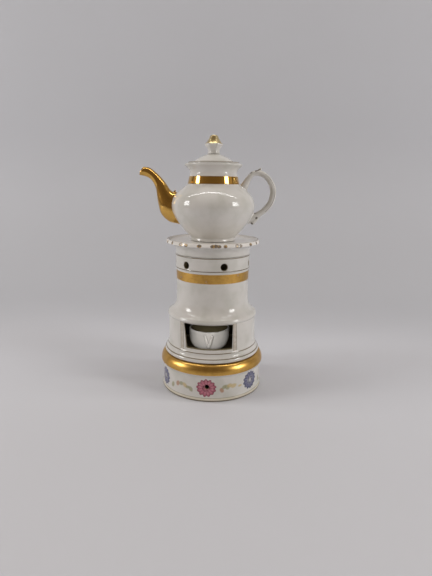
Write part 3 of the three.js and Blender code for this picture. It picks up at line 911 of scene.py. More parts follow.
# Angle of each worn bar beside the window, at the sill and at the head
BAR_ANGLES = ((-35.2, -36.0), (35.3, 34.4))
# Nearer the axis than this, the top of the stand and the bottom of the dish are in the soot and
# painted shade
SOOT_AND_SHADE_RADIUS = 33
SMOKE_VENTS = 6
SMOKE_VENT_TURN = 22
SMOKE_VENT_HEIGHT = 88.0
SMOKE_VENT_RADIUS = 3.3
SHAFT_BAND = (72.4, 81.0)
# Height of each thin line, and its width as a share of the gold line's; the line at 0.5 is painted
# shadow where the stand sits on the plinth
STAND_LINES = ((8.9, 1.0), (4.2, 0.9), (0.5, 0.6), (83.7, 1.0), (95.5, 1.0))


def window_edge(side, share, grown):
    """Edge of the lamp window, a little wider on its left towards the head."""
    right, low, high = WINDOW_RIGHT + grown, WINDOW_SILL - grown, WINDOW_HEAD + grown
    left_foot, left_head = WINDOW_LEFT_FOOT - grown, WINDOW_LEFT_HEAD - grown
    posts = ((left_foot, low), (right, low), (right, high), (left_head, high))
    before, start, end, after = (Vector(posts[(side + k) % 4]) for k in (-1, 0, 1, 2))
    eased = 0.5 - 0.5 * math.cos(math.pi * share)
    gathered = share + (eased - share) * WINDOW_GATHERING
    spot = start.lerp(end, gathered)
    long = (end - start).length
    for post, near, other in ((start, gathered * long, before), (end, (1 - gathered) * long, after)):
        if near < WINDOW_CORNER:
            fall = WINDOW_CORNER - near
            spot = spot + (other - post).normalized() * (fall * fall / (4 * WINDOW_CORNER))
    return spot.x, spot.y


def stand_outline():
    outer = [
        (41, 0, 0.6),
        (45.5, 0, 0.8),
        (46.7, 1, 0.8),
        (46.8, 2.8, 1),
        (45.9, 4.2, 0.8),
        (44.6, 5.3, 0.8),
        (43.9, 6.8, 0.8),
        (43.9, 8.6, 0.8),
        (43.1, 10.1, 0.8),
        (42.75, 11.7, 0.8),
        (42.5, 36.3, 0.6),
        (43.4, 37.0, 0.5),
        (43.5, 38.5, 0.5),
        (43.15, 38.95, 0.3),
        *bezier((43.1, 39.2), (42.6, 42.1), (35.6, 41.4), (35.1, 52.6), 20),
        (34.75, 64.4, 3),
        (34.85, 72.2, 1),
        (35.05, 81.2, 0.8),
        (35.15, 82.7, 0.5),
        (35.85, 83.6, 0.5),
        (35.5, 84.5, 0.5),
        (35.5, 94.8, 0.5),
        (35.85, 95.5, 0.4),
        (35.5, 96.2, 0.3),
    ]
    inner = [
        (31.35, 96.2, 0.3),
        (31.35, 47.2, 3),
        (38.9, 36.8, 4),
        (38.9, 7, 1.5),
        (41, 4, 1),
    ]
    return outer, inner


def stand_mesh():
    outer, inner = stand_outline()
    body = Body()
    wall = body.wall([*outer, *inner], loop=True)
    top = max(range(len(wall.points)), key=lambda i: (wall.points[i].y, -i))
    inward = next(i for i in range(top, len(wall.points)) if wall.points[i].x < SOOT_AND_SHADE_RADIUS)
    for ring in wall.rows[inward:]:
        for number in ring:
            body.tags[number] = 1.0
    sides = (wall, (0, top)), (wall, (inward, len(wall.points) - 1))
    rows = round((WINDOW_HEAD - WINDOW_SILL + 2 * PATCH_MARGIN) * MM / sizes().fineness)
    columns = 2 * round(math.radians(PATCH_ANGLE) / (TURN / body.columns))
    middle = (WINDOW_SILL + WINDOW_HEAD) / 2 + PATCH_RISE
    body.pierce(*sides, 0, middle, rows, columns, window_edge, lip=0.55)
    edge = round_edge(SMOKE_VENT_RADIUS, SMOKE_VENT_HEIGHT)
    for i in range(SMOKE_VENTS):
        angle = math.radians(SMOKE_VENT_TURN + 360 / SMOKE_VENTS * i)
        body.pierce(*sides, angle, SMOKE_VENT_HEIGHT, rows=8, columns=8, edge=edge, lip=0.6)
    return body.mesh("stand_body_fine", foot_of("stand_body"))


def paint_bar(glaze, at_sill, at_head):
    """A worn bar with darker rims beside the window, leaning from one angle to another."""
    paint = glaze.paint
    half_bar = sizes().bar_width / MM / 2
    lean = (at_head - at_sill) / (WINDOW_HEAD - WINDOW_SILL)
    centre = at_sill + (glaze.up - WINDOW_SILL) * lean
    sway = (paint.noise(glaze.spot, 0.2, 2) - 0.5) * 0.3
    off = abs((glaze.angle - centre) * math.radians(DRUM_RADIUS) + sway)
    tall = paint.within(glaze.up, WINDOW_SILL - 2.5, WINDOW_HEAD + 1.0, 0.3)
    bar = 1 - paint.fade(off - half_bar, -0.2, 0.2)
    rim = 1 - paint.fade(abs(off - half_bar) - 0.25, -0.1, 0.15)
    worn = 0.35 + paint.fade(paint.noise(glaze.spot, 0.35, 3), 0.35, 0.65) * 0.3
    glaze.enamel(bar * tall * worn, colours().bar)
    glaze.enamel(rim * tall * 0.6, colours().line)


def stand_finish():
    glaze = Glaze("gilt lined porcelain of the stand", "stand_body")
    glaze.gild(glaze.band(*SHAFT_BAND, 0.1), rough=0.24, wear=0.2, brown=0.8)
    half_line = sizes().line_width / MM / 2
    # Thin gold lines, and at the foot a line of painted shadow
    for height, share in STAND_LINES:
        glaze.enamel(glaze.line(height, half_line * share, 0.06) * 0.9, colours().line, rough=0.22)
    for at_sill, at_head in BAR_ANGLES:
        paint_bar(glaze, at_sill, at_head)
    glaze.paint_soot_and_shade()
    return glaze.finish()


# Dish


# Radius of the hole in the dish's floor, under the pot
WARMING_HOLE = 16.5


def dish_mesh():
    body = Body()
    body.wall([
        (35.5, 0, 0.3),
        *bezier((35.3, 0.8), (35.3, 6.2), (38.2, 8.8), (43.4, 9.8), 16),
        (44.7, 10.3, 0.6),
        (44.6, 11.2, 0.8),
        (43.7, 13.5, 0.7),
        (42.8, 13.7, 0.5),
        (41.1, 12.0, 1.4),
        (WARMING_HOLE, 12.0, 1),
        (WARMING_HOLE, 8.6, 1),
        (29.35, 8.6, 0.8),
        (31.35, 6.6, 0.8),
        (31.35, 0, 0.3),
    ], loop=True, inside=lambda p: float(p.x < WARMING_HOLE + 0.5 or p.x < SOOT_AND_SHADE_RADIUS and p.y < 9.5))
    return body.mesh("stand_dish_fine", foot_of("stand_dish"))


# Lowest and highest gold on the dish's edge, above the dish's foot
DISH_EDGE = (9.6, 13.4)
# Gold marks round the dish's edge: angle, half width, height above the middle of the edge
RIM_MARKS = (
    (-51.0, 1.5, 0.4),
    (-35.0, 2.3, 0.1),
    (-27.2, 2.3, -0.1),
    (-10.5, 2.2, 0.0),
    (4.8, 2.3, -0.2),
    (8.4, 2.3, 0.2),
    (12.0, 2.2, -0.2),
    (19.3, 1.8, -0.2),
    (33.6, 2.3, 0.1),
    (38.4, 1.8, -0.2),
    (54.6, 2.0, 0.0),
)
RIM_REPEAT = 120


def rim_marks(glaze):
    """Mask of the gold marks, shaped like leaves, round the dish's edge."""
    paint = glaze.paint
    low, high = DISH_EDGE
    turn = paint.repeated(glaze.angle, RIM_REPEAT)
    ragged = paint.noise(glaze.spot, 0.9, 3) * 0.9
    arc = math.radians(1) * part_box("stand_dish")[1].x / MM
    mask = None
    for angle, half_wide, rise in RIM_MARKS:
        across, up = (turn - angle) * arc, glaze.up - (low + high) / 2 - rise
        mark = glaze.stroke(across, up, half_wide, (high - low) * 0.42, 0, ragged, (1.0, 1.6))
        mask = paint.most(mask, mark) if mask else mark
    return mask


def dish_finish():
    glaze = Glaze("gilt edged porcelain of the dish", "stand_dish")
    paint, tints = glaze.paint, colours()
    low, high = DISH_EDGE
    outside = paint.fade(glaze.radius(), 42.2, 42.9)
    # Painted light: the dish's edge and top, in the pot's shadow, are made whiter
    glaze.enamel(paint.fade(glaze.up, low - 0.4, low + 0.6) * 0.8, tints.painted_light_white, rough=0.1, rise=0.0)
    marks = rim_marks(glaze) * outside
    glaze.enamel(marks * 0.9, tints.mark, rough=0.25)
    glints = paint.fade(paint.noise(glaze.spot, 0.55, 3), 0.56, 0.66)
    glaze.gild(marks * glints, rough=0.4, wear=0.1, brown=0.3)
    for height in (low - 0.2, high + 0.25):
        glaze.enamel(outside * glaze.line(height, 0.22, 0.06) * 0.6, tints.line, rough=0.25)
    glaze.paint_soot_and_shade()
    return glaze.finish()


# Oil cup


CUP_WALL = 2.4
CUP_FLOOR = 3.4
# Above its floor and further than this from its outside, the cup is in the soot and painted shade
CUP_SOOT_AND_SHADE_DEPTH = 1.7


def cup_mesh():
    body = Body(128)
    outer = [*bezier((12.5, 0.6), (17.0, 1.6), (19.9, 5.75), (20.1, 15.55), 16), (20.2, 19.7)]
    inner = [p for p in beside(outer, -CUP_WALL) if p[1] > CUP_FLOOR + 1][::-1]
    outside = [*outer, (19.7, 21.3)]
    body.wall([
        (0, 0.8),
        (9.9, 0.8, 0.4),
        (10.3, 0, 0.4),
        (12.1, 0, 0.5),
        *outer,
        (20.2, 20.5, 0.6),
        (19.7, 21.3, 0.6),
        (18.3, 21.3, 0.6),
        *inner[1:],
        (11, CUP_FLOOR, 1),
        (0, CUP_FLOOR),
    ], inside=lambda p: float(p.y > CUP_FLOOR - 0.05 and clear_of(outside, p) > CUP_SOOT_AND_SHADE_DEPTH))
    return body.mesh("godet_cup_fine")


def cup_finish():
    # Painted light: the oil cup gets the whiter glaze, so that it looks lit in its dark chamber
    glaze = Glaze("white porcelain of the oil cup", "godet_cup", colours().painted_light_white, colours().white)
    glaze.paint_soot_and_shade()
    return glaze.finish()


# Teapot


POT_RADIUS = 38.75
BELLY_HEIGHT = 31.5
POT_WALL = 2.6
NECK = ((22.6, 58.5), (21.65, 61.6))
NECK_BAND = (51.6, 58.4)


def pot_outer():
    """The pot's outside from above its foot ring to its neck."""
    widest = (POT_RADIUS, BELLY_HEIGHT)
    belly = bezier((21.6, 3.4), (27.5, 9.0), (POT_RADIUS, 22.0), widest, 24)
    shoulder = bezier(widest, (POT_RADIUS, 42.6), (29.8, 46.35), (24.2, 51.3), 24)
    return [*belly, *shoulder[1:]]


def pot_outline():
    foot = [(0, 2), (17.4, 2, 0.6), (17.8, 0, 0.5), (21.2, 0, 0.5), (21.3, 0.8, 0.5), (20.8, 2.6, 0.6)]
    brim = bezier(NECK[1], (21.75, 64.0), (24.35, 66.5), (26.45, 68.0), 10)
    lip = [(26.75, 68.9, 0.4), (26.35, 69.7, 0.4), (20.2, 69.7, 0.5), (19.3, 68.7, 0.5)]
    throat = [(19.3, 61.6, 1), (21.4, 51.0, 1)]
    inner = [p for p in beside(pot_outer(), -POT_WALL) if 6 < p[1] < 50][::-1]
    floor = [(14.8, 4.6), (0, 4.6)]
    return [*foot, *pot_outer(), NECK[0], *brim, *lip, *throat, *inner[1:], *floor]


def pot_radius(height):
    """Radius of the pot's outside at a height above its foot."""
    points = [*pot_outer(), *NECK]
    for (r0, z0), (r1, z1) in zip(points, points[1:]):
        if z0 <= height <= z1:
            return r0 + (r1 - r0) * (height - z0) / (z1 - z0)
    return points[0][0] if height < points[0][1] else points[-1][0]


def pot_mesh():
    body = Body()
    body.wall(pot_outline())
    return body.mesh("pot_body_fine", foot_of("pot_body"))


STRAINER_HEIGHT = 30.0
STRAINER_PITCH = 4.6
STRAINER_RADIUS = 1.5
# Holes in the ring round the middle one
STRAINER_RING = 6
# The rods reach through the wall behind the spout, between these places along X
STRAINER_REACH = (-45, -30)


def strainer_rods():
    """Rods that cut the strainer behind the spout: one in the middle and a ring round it."""
    turns = [TURN * i / STRAINER_RING for i in range(STRAINER_RING)]
    places = [(0, 0), *((math.cos(turn), math.sin(turn)) for turn in turns)]
    rods = []
    for across, up in places:
        y = STRAINER_PITCH * across * MM
        z = foot_of("pot_body") + (STRAINER_HEIGHT + STRAINER_PITCH * up) * MM
        start, end = ((x * MM, y, z) for x in STRAINER_REACH)
        rods.append(rod("strainer_hole", STRAINER_RADIUS * MM, start, end))
    return rods


def pot_finish():
    glaze = Glaze("gilt banded porcelain of the pot", "pot_body")
    glaze.gild(glaze.band(*NECK_BAND), rough=0.05, wear=0.15, brushed=0.05, brown=0.4)
    return glaze.finish()


# Limbs stuck on the pot


def along_stations(stations, steps):
    """Smooth values between stations, which are lists of equal length."""
    rows = []
    last = len(stations) - 1
    for i in range(last):
        a, b, c, d = (stations[min(max(j, 0), last)] for j in (i - 1, i, i + 1, i + 2))
        for step in range(steps):
            t = step / steps
            row = []
            for before, start, end, after in zip(a, b, c, d):
                slope_in, slope_out = (end - before) / 2, (after - start) / 2
                square = 3 * (end - start) - 2 * slope_in - slope_out
                cubic = slope_in + slope_out - 2 * (end - start)
                row.append(start + slope_in * t + square * t * t + cubic * t ** 3)
            rows.append(row)
    rows.append(list(stations[last]))
    return rows


def oval(upper, lower, width, sides, ridge=1.0):
    """A ring of points round a section from lower to upper. A lower ridge makes it squarer."""
    ring = []
    for side in range(sides):
        angle = TURN * side / sides
        c, s = math.cos(angle), math.sin(angle)
        share = (1 + math.copysign(abs(c) ** ridge, c)) / 2
        across = width / 2 * math.copysign(abs(s) ** ridge, s)
        spot = lower.lerp(upper, share)
        ring.append(Vector((spot.x, across, spot.y)))
    return ring


def clear_of_pot(point):
    """Distance of a point outside the pot's surface, and the surface's outward direction."""
    radius = math.hypot(point.x, point.y)
    half = 0.2
    slope = (pot_radius(point.z + half) - pot_radius(point.z - half)) / (2 * half)
    steep = math.hypot(1, slope)
    outward = Vector((point.x / radius, point.y / radius, -slope)) / steep
    return (radius - pot_radius(point.z)) / steep, outward


# Rings that spread a limb's first ring to its full section, and rings of its rounded joint
SPREAD_RINGS = 6
JOINT_RINGS = 6
# The joint's deepest ring lies this much below the pot's surface
JOINT_DEPTH = 0.15


def first_clear(rings, fillet):
    """For each side, the first ring clear of the pot and the place just before it."""
    starts = []
    for side in range(len(rings[0])):
        for i in range(len(rings) - 1, 0, -1):
            here, inner = rings[i][side], rings[i - 1][side]
            a, b = clear_of_pot(here)[0], clear_of_pot(inner)[0]
            if a >= fillet > b:
                starts.append((i, here.lerp(inner, (a - fillet) / (a - b))))
                break
        else:
            raise ValueError("A limb has a side that doesn't come out of the pot")
    return starts


def luted(rings, fillet):
    """Rings of a limb, the first inside the pot, cut at the pot and rounded into its surface."""
    starts = first_clear(rings, fillet)
    whole = max(i for i, _ in starts)
    limb = []
    for step in range(SPREAD_RINGS):
        share = step / SPREAD_RINGS
        limb.append([
            point_between(rings, side, i, whole, spot, share) for side, (i, spot) in enumerate(starts)
        ])
    limb += rings[whole:]
    centre = sum(limb[0], Vector()) / len(starts)
    joint = []
    for step in range(JOINT_RINGS, 0, -1):
        angle = math.pi / 2 * step / JOINT_RINGS
        sunk = fillet * math.sin(angle) + (JOINT_DEPTH if step == JOINT_RINGS else 0.0)
        joint.append([])
        for spot in limb[0]:
            _, outward = clear_of_pot(spot)
            away = spot - centre
            away = (away - outward * away.dot(outward)).normalized()
            joint[-1].append(spot - outward * sunk + away * fillet * (1 - math.cos(angle)))
    return joint + limb


def point_between(rings, side, start, end, spot, share):
    """A point part of the way along a side, from the spot before ring start to ring end."""
    path = [spot, *(rings[i][side] for i in range(start, end + 1))]
    reach = share * (len(path) - 1)
    i = min(int(reach), len(path) - 2)
    return path[i].lerp(path[i + 1], reach - i)


# Spout


# Stations of the spout and its thorn, from the belly's widest point: the upper edge's X and Z,
# the lower edge's X and Z, and the width
SPOUT_STATIONS = (
    (16, 9.5, 11, -19.5, 22),
    (12, 10.5, 7, -17.5, 21),
    (4.5, 12.2, -3.2, -15.2, 19.5),
    (0.4, 12.8, -10.6, -8.4, 17.5),
    (-2.6, 15.2, -13.3, 0.2, 15),
    (-5.8, 20, -14.6, 7.6, 12.5),
    (-10.2, 25.4, -15.6, 15.4, 10.8),
    (-15.4, 30.2, -19.2, 22.6, 9.6),
    (-21.2, 34.4, -24.4, 26.2, 9),
    (-26.8, 35.2, -31, 27.6, 8.6),
)
THORN_STATIONS = (
    (-1.6, 11.4, 4.4, 5.4, 5),
    (0.6, 12.6, 3.4, 11.2, 3.6),
    (1.9, 13.9, 3.2, 13.2, 1.6),
    (2.4, 14.4, 2.9, 14.2, 0.6),
)


def oval_rings(stations, inset, sides=48):
    """Oval rings of the spout or its thorn from root to end, set in from the outside."""
    rings = []
    shift = Vector((-POT_RADIUS, BELLY_HEIGHT))
    for upper_x, upper_z, lower_x, lower_z, width in along_stations(stations, 6):
        upper, lower = Vector((upper_x, upper_z)), Vector((lower_x, lower_z))
        inward = (lower - upper).normalized() * inset
        rings.append(oval(upper + inward + shift, lower - inward + shift, width - 2 * inset, sides))
    return rings


SPOUT_WALL = 1.9
# Rings of the spout's rounded lip: how far in from the outside, and how far past its end
SPOUT_LIP = ((0.25, 0.12), (0.75, 0.26), (1.2, 0.26), (1.6, 0.15), (SPOUT_WALL, 0.0))
BORE_FILLET = 0.2


def spout_mesh():
    outer = luted(oval_rings(SPOUT_STATIONS, 0), sizes().spout_fillet / MM)
    forward = (outer[-1][0] - outer[-2][0]).normalized()
    lip = [
        [point + forward * past for point in oval_rings(SPOUT_STATIONS, inset)[-1]]
        for inset, past in SPOUT_LIP
    ]
    bore = luted(oval_rings(SPOUT_STATIONS, SPOUT_WALL), BORE_FILLET)[::-1]
    body = Body()
    for rings, ends in (
        ([*outer, *lip, *bore[1:]], "joined"),
        (oval_rings(THORN_STATIONS, 0, 24), "capped"),
    ):
        body.tube([[(point, clear_of_pot(point)[0]) for point in ring] for ring in rings], ends)
    return body.mesh("spout_fine", foot_of("pot_body"), "clearance")


def spout_finish():
    glaze = Glaze("gilt porcelain of the spout", "pot_body")
    paint = glaze.paint
    sway = (paint.noise(glaze.spot, 0.3, 2) - 0.5) * 0.5
    clearance = paint.attribute("clearance")
    cover = paint.fade(clearance + sway, 0.12, 0.32)
    # Painted shadow: a dark line in the joint where the spout meets the pot
    glaze.enamel(1 - paint.fade(clearance, -0.05, 0.15), colours().line, rough=0.3, rise=0.0)
    glaze.gild(cover, rough=0.06, wear=0.12, brushed=0.08)
    return glaze.finish()


# Handle


# Stations of the handle, its spur and its scroll, from the belly's widest point: X and Z of the
# middle line, thickness and width
HANDLE_STATIONS = (
    (-16.5, 7.4, 9.4, 10),
    (-12.9, 13.3, 8.4, 9),
    (-9.9, 18.7, 7.2, 7.8),
    (-7.5, 23.4, 5.8, 6.6),
    (-4.7, 27.6, 4.8, 6.2),
    (-1, 30.2, 4.9, 6),
    (3.9, 30.4, 5.2, 6),
    (9.1, 27.8, 5, 6),
    (13.3, 23.2, 5.2, 6),
    (16.1, 17.4, 5.6, 6.2),
    (16.6, 11.2, 5.8, 6.4),
    (14.9, 4.4, 5.8, 6.4),
    (10.9, -1.4, 5.6, 6.4),
    (5.4, -6, 5.4, 6.4),
    (-0.6, -9.6, 6.4, 7),
    (-6, -12.4, 7, 7.4),
    (-11, -15, 7.4, 7.8),
)
SPUR_STATIONS = (
    (1.6, 30.2, 4.6, 5),
    (3.6, 33, 3.2, 3.8),
    (4.6, 34.6, 1.7, 2.2),
    (5, 35.2, 0.6, 0.8),
)
SCROLL_STATIONS = (
    (3.8, -8, 4.4, 6),
    (1.2, -11.4, 4.2, 5.8),
    (-1, -13.8, 5.2, 6),
    (-2.4, -15.4, 3.4, 4.4),
    (-2.9, -15.9, 1.0, 1.6),
)
HANDLE_SIDES = 32
HANDLE_RIDGE = 0.92


def ringed(stations, steps):
    """Oval rings square to the middle line of a limb of the handle."""
    rows = along_stations(stations, steps)
    rings = []
    for i, (x, z, thick, width) in enumerate(rows):
        before, after = rows[max(i - 1, 0)], rows[min(i + 1, len(rows) - 1)]
        along = Vector((after[0] - before[0], after[1] - before[1])).normalized()
        out = Vector((-along.y, along.x)) * thick / 2
        spot = Vector((x + POT_RADIUS, z + BELLY_HEIGHT))
        rings.append(oval(spot + out, spot - out, width, HANDLE_SIDES, HANDLE_RIDGE))
    return rings


def luted_at_both_ends(rings, fillet):
    """Rings of a limb whose two ends stand on the pot, rounded into its surface."""
    half = len(rings) // 2
    first = luted(rings[:half + 1], fillet)
    last = luted(rings[half:][::-1], fillet)[::-1]
    return first + last[1:]


def handle_mesh():
    ear = luted_at_both_ends(ringed(HANDLE_STATIONS, 6), sizes().joint_fillet / MM)
    outward = [math.cos(TURN * side / HANDLE_SIDES) for side in range(HANDLE_SIDES)]
    body = Body()
    for rings in (ear, ringed(SPUR_STATIONS, 5), ringed(SCROLL_STATIONS, 5)):
        body.tube([list(zip(ring, outward)) for ring in rings])
    return body.mesh("handle_fine", foot_of("pot_body"), "outward")


# Strokes on the handle: across from the pot's axis, above its foot, half length, half width, slant
HANDLE_STROKES = (
    (33.8, 62.3, 2.0, 0.9, 5),
    (40.6, 64.8, 2.8, 1.1, 30),
    (43.6, 65.3, 1.0, 0.8, -10),
    (48.2, 63.1, 1.4, 0.7, -22),
    (39.6, 26.2, 1.6, 0.8, 30),
    (40.8, 21.3, 1.2, 1.0, 40),
    (36.3, 15.9, 1.4, 1.0, -15),
)


def handle_finish():
    glaze = Glaze("gilt dashed porcelain of the handle", "pot_body")
    paint = glaze.paint
    # The thread and the strokes are gilt dashes, painted in the dark reflection of their gold
    painted_dark_reflection = colours().painted_dark_reflection
    breaks = paint.fade(paint.noise(glaze.spot, 0.30, 3, 0.6), 0.30, 0.42)
    stretch = paint.within(glaze.up, 27, 61, 0.6) * paint.fade(glaze.x, 45, 47)
    thread = paint.within(paint.attribute("outward"), 0.40, 0.60, 0.05) * breaks * stretch
    glaze.enamel(thread * 0.7, painted_dark_reflection, rough=0.25)
    ragged = paint.noise(glaze.spot, 0.8, 3) * 0.6
    flank = paint.fade(abs(glaze.y), 0.9, 1.7) * 0.9
    for x, z, half_long, half_wide, slant in HANDLE_STROKES:
        across, up = glaze.x - x, glaze.up - z
        stroke = glaze.stroke(across, up, half_long, half_wide, slant, ragged, (1.0, 1.6))
        glaze.enamel(stroke * flank, painted_dark_reflection, rough=0.25)
    return glaze.finish()


# Lid and knob


# The skirt below the lid's flange, which hangs in the mouth of the pot. The heights of the lid's
# outline are from its flange, not from its foot
LID_SKIRT = 5.4


def lid_mesh():
    body = Body(160)
    outline = [
        (0, 5.6),
        (6.2, 5.6, 1),
        (10.2, 2.6, 1),
        (16.9, -0.6, 1),
        (16.9, -LID_SKIRT, 0.5),
        (18.2, -LID_SKIRT, 0.4),
        (18.7, -4.4, 0.4),
        (18.7, 0, 0.3),
        (23.3, 0, 0.2),
        (23.6, 0.6, 0.25),
        (23.2, 1.2, 0.3),
        (18.9, 1.3, 0.3),
        *bezier((18.3, 1.5), (16.9, 3.2), (11.5, 6.4), (6.2, 8), 12),
        (0, 8),
    ]
    body.wall([(radius, height + LID_SKIRT, *rest) for radius, height, *rest in outline])
    return body.mesh("lid_fine", foot_of("lid"))


STEAM_HOLE_RADIUS = 1.1
STEAM_HOLE_PLACE = 9.5


def steam_rod():
    """Rod that cuts the steam hole through the lid, behind the knob."""
    low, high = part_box("lid")
    y = STEAM_HOLE_PLACE * MM
    return rod("steam_hole", STEAM_HOLE_RADIUS * MM, (0, y, low.z), (0, y, high.z + 10 * MM))


def lid_finish():
    glaze = Glaze("porcelain of the lid", "lid")
    # A thin dark line round the flange's edge: partly a worn gold line, partly painted shadow of the
    # gap at the pot's mouth
    glaze.enamel(glaze.line(LID_SKIRT + 0.9, 0.28, 0.05) * 0.85, colours().line)
    return glaze.finish()


FACETS = 6
FACET_STEPS = 16
# The knob's stem is round up to the first height, and faceted from the second
FACETS_FROM = (3.0, 6.0)
# Factor that moves the flats out, so that the corners between them stay rounded
FACET_SOFTNESS = 1.03
# The knob is gilt from this height up
KNOB_CAP = 9.1
KNOB_OUTLINE = (
    (0, 0),
    (5.9, 0),
    (5.7, 0.8),
    (5.2, 2),
    (5.3, 3.4),
    (5.5, 4.4),
    (5.9, 5.0),
    (7.8, 7.3),
    (8.15, 7.8),
    (8.25, 8.4),
    (8.2, 8.9),
    (7.9, 9.2),
    (7.1, 9.85),
    (6.4, 10.5),
    (5.3, 12.2),
    (4.3, 14.0),
    (3.6, 15.6),
    (3.2, 16.2),
    (2.4, 16.6),
    (0, 16.8),
)


def knob_mesh():
    side = TURN / FACETS
    round_to, faceted_from = FACETS_FROM
    rings = []
    for radius, height in KNOB_OUTLINE:
        faceted = min(1.0, max(0.0, (height - round_to) / (faceted_from - round_to)))
        ring = []
        for step in range(FACETS * FACET_STEPS):
            angle = side * step / FACET_STEPS
            off_middle = (angle + side / 2) % side - side / 2
            flat = min(1.0, math.cos(side / 2) / math.cos(off_middle) * FACET_SOFTNESS)
            ring.append((at_angle(radius * (1 + (flat - 1) * faceted), height, angle), 0.0))
        rings.append(ring)
    body = Body()
    body.tube(rings, "open")
    return body.mesh("lid_knob_fine", foot_of("lid_knob"))


def knob_finish():
    glaze = Glaze("gilt porcelain of the knob", "lid_knob")
    cap = glaze.band(KNOB_CAP, 20, 0.25)
    leaf_tone = colours().pale_gold
    glaze.gild(cap, rough=0.26, wear=0.2, brushed=0.08, brown=0.3, leaf_tone=leaf_tone)
    return glaze.finish()


# Cup's pull, float, plate and wick


PULL_RADIUS = 1.5
PULL_SIDES = 16
# Right half of the V-shaped pull on the cup, from its foot up: X, out from the axis, Z
PULL_ROUTE = (
    (0, 20.6, 6.6),
    (1.28, 22.8, 10.4),
    (2.56, 22.2, 15.4),
    (3.8, 19.8, 18.2),
)


def pull_mesh():
    left = [(-x, out, z) for x, out, z in PULL_ROUTE[:0:-1]]
    spots = [Vector((x, -out, z)) for x, out, z in along_stations([*left, *PULL_ROUTE], 8)]
    rings = []
    for before, spot, after in zip([spots[0], *spots], spots, [*spots[1:], spots[-1]]):
        along = (after - before).normalized()
        side = along.cross(Vector((0, 1, 0))).normalized()
        other = along.cross(side)
        ring = []
        for step in range(PULL_SIDES):
            angle = TURN * step / PULL_SIDES
            off = side * math.cos(angle) + other * math.sin(angle)
            ring.append((spot + off * PULL_RADIUS, 0.0))
        rings.append(ring)
    body = Body()
    body.tube(rings)
    return body.mesh("godet_handle_fine")


# The oil cup stands turned a little, in degrees
CUP_TURN = 4


def to_foot_centre(data, node, turn=0.0):
    """Moves a mesh made on the axis to the middle of the underside of a node."""
    low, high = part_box(node)
    centre = (low + high) / 2
    shift = Matrix.Translation((centre.x, centre.y, low.z))
    data.transform(shift @ Matrix.Rotation(math.radians(turn), 4, "Z"))
    return data


def disc_mesh(node, rounding, hole):
    """A flat ring in the place of a node, with rounded edges."""
    low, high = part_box(node)
    radius, thick = (high.x - low.x) / 2 / MM, (high.z - low.z) / MM
    corners = ((hole, 0), (radius, 0), (radius, thick), (hole, thick))
    body = Body(64)
    body.wall([(*corner, rounding) for corner in corners], loop=True)
    return to_foot_centre(body.mesh(node + "_fine"), node)


WICK_RADIUS = 0.72
# Each of the wick's three strands stands this much proud of it
STRAND = 0.17
STRAND_COUNT = 3
STRAND_TWIST = 9
# The wick's end narrows by this share over the last tenth of it
WICK_TAPER = 0.35


def wick_mesh():
    low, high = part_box("wick")
    tall = (high.z - low.z) / MM
    sides, steps = 36, 60
    rings = []
    for i in range(steps + 1):
        share = i / steps
        taper = 1 - WICK_TAPER * max(0, share - 0.9) / 0.1
        ring = []
        for side in range(sides):
            angle = TURN * side / sides
            strand = STRAND * abs(math.sin(STRAND_COUNT / 2 * (angle + share * STRAND_TWIST)))
            ring.append((at_angle((WICK_RADIUS + strand) * taper, share * tall, angle), share))
        rings.append(ring)
    body = Body()
    body.tube(rings)
    return to_foot_centre(body.mesh("wick_fine", tag_name="length"), "wick")


def cork_finish():
    paint, tints = Paint("cork"), colours()
    spot = paint.place()
    cells = {"Vector": spot, "Scale": 0.9}
    grain = paint.parts(paint.node("ShaderNodeTexVoronoi", None, cells, output="Color"))[0]
    pits = paint.fade(paint.noise(spot, 1.8, 4, 0.65), 0.6, 0.72)
    tone = paint.mix(grain * 0.5, tints.cork, tints.cork_shade)
    return paint.surface(
        Base_Color=paint.mix(pits * 0.8, tone, tints.cork_pit),
        Roughness=0.8 + grain * 0.1,
        Normal=paint.bump(grain * 0.05 - pits * 0.12),
    )


def tin_finish():
    paint, tints = Paint("tinplate"), colours()
    spot = paint.place()
    grain = paint.noise(spot, 0.8, 4, 0.6)
    stain = paint.fade(paint.noise(spot, 0.3, 3), 0.5, 0.75)
    return paint.surface(
        Base_Color=paint.mix(stain * 0.6, tints.tin, tints.tin_stain),
        Metallic=1.0,
        Roughness=0.3 + grain * 0.2,
        Normal=paint.bump(grain * 0.02),
    )


def cotton_finish():
    paint, tints = Paint("cotton wick"), colours()
    fibres = paint.noise(paint.place(), 3.0, 4, 0.7)
    burnt = paint.fade(paint.attribute("length") + fibres * 0.08, 0.86, 0.97)
    tone = paint.mix(fibres * 0.4, tints.cotton, tints.cotton_shade)
    return paint.surface(
        Base_Color=paint.mix(burnt, tone, tints.char),
        Roughness=0.75 + fibres * 0.15,
        Normal=paint.bump(fibres * 0.06),
    )


# Stage


PAPER_HALF_WIDTH = 2.6
# The paper lies flat up to the first place along Y, bends up with the radius, and ends at the height
BEND_START = 0.16
BEND_RADIUS = 0.30
PAPER_TOP = 2.2


def sweep_mesh():
    """Paper floor that curves up into the backdrop."""
    path = [(-PAPER_HALF_WIDTH, 0.0), (-0.6, 0.0), (BEND_START, 0.0)]
    steps = 12
    for step in range(1, steps + 1):
        angle = math.pi / 2 * step / steps
        path.append((
            BEND_START + BEND_RADIUS * math.sin(angle),
            BEND_RADIUS * (1 - math.cos(angle)),
        ))
    path.append((BEND_START + BEND_RADIUS, PAPER_TOP))
    corners = [(x, y, z) for y, z in path for x in (-PAPER_HALF_WIDTH, PAPER_HALF_WIDTH)]
    faces = [(2 * i, 2 * i + 1, 2 * i + 3, 2 * i + 2) for i in range(len(path) - 1)]
    data = bpy.data.meshes.new("paper_sweep")
    data.from_pydata(corners, [], faces)
    data.shade_smooth()
    return data


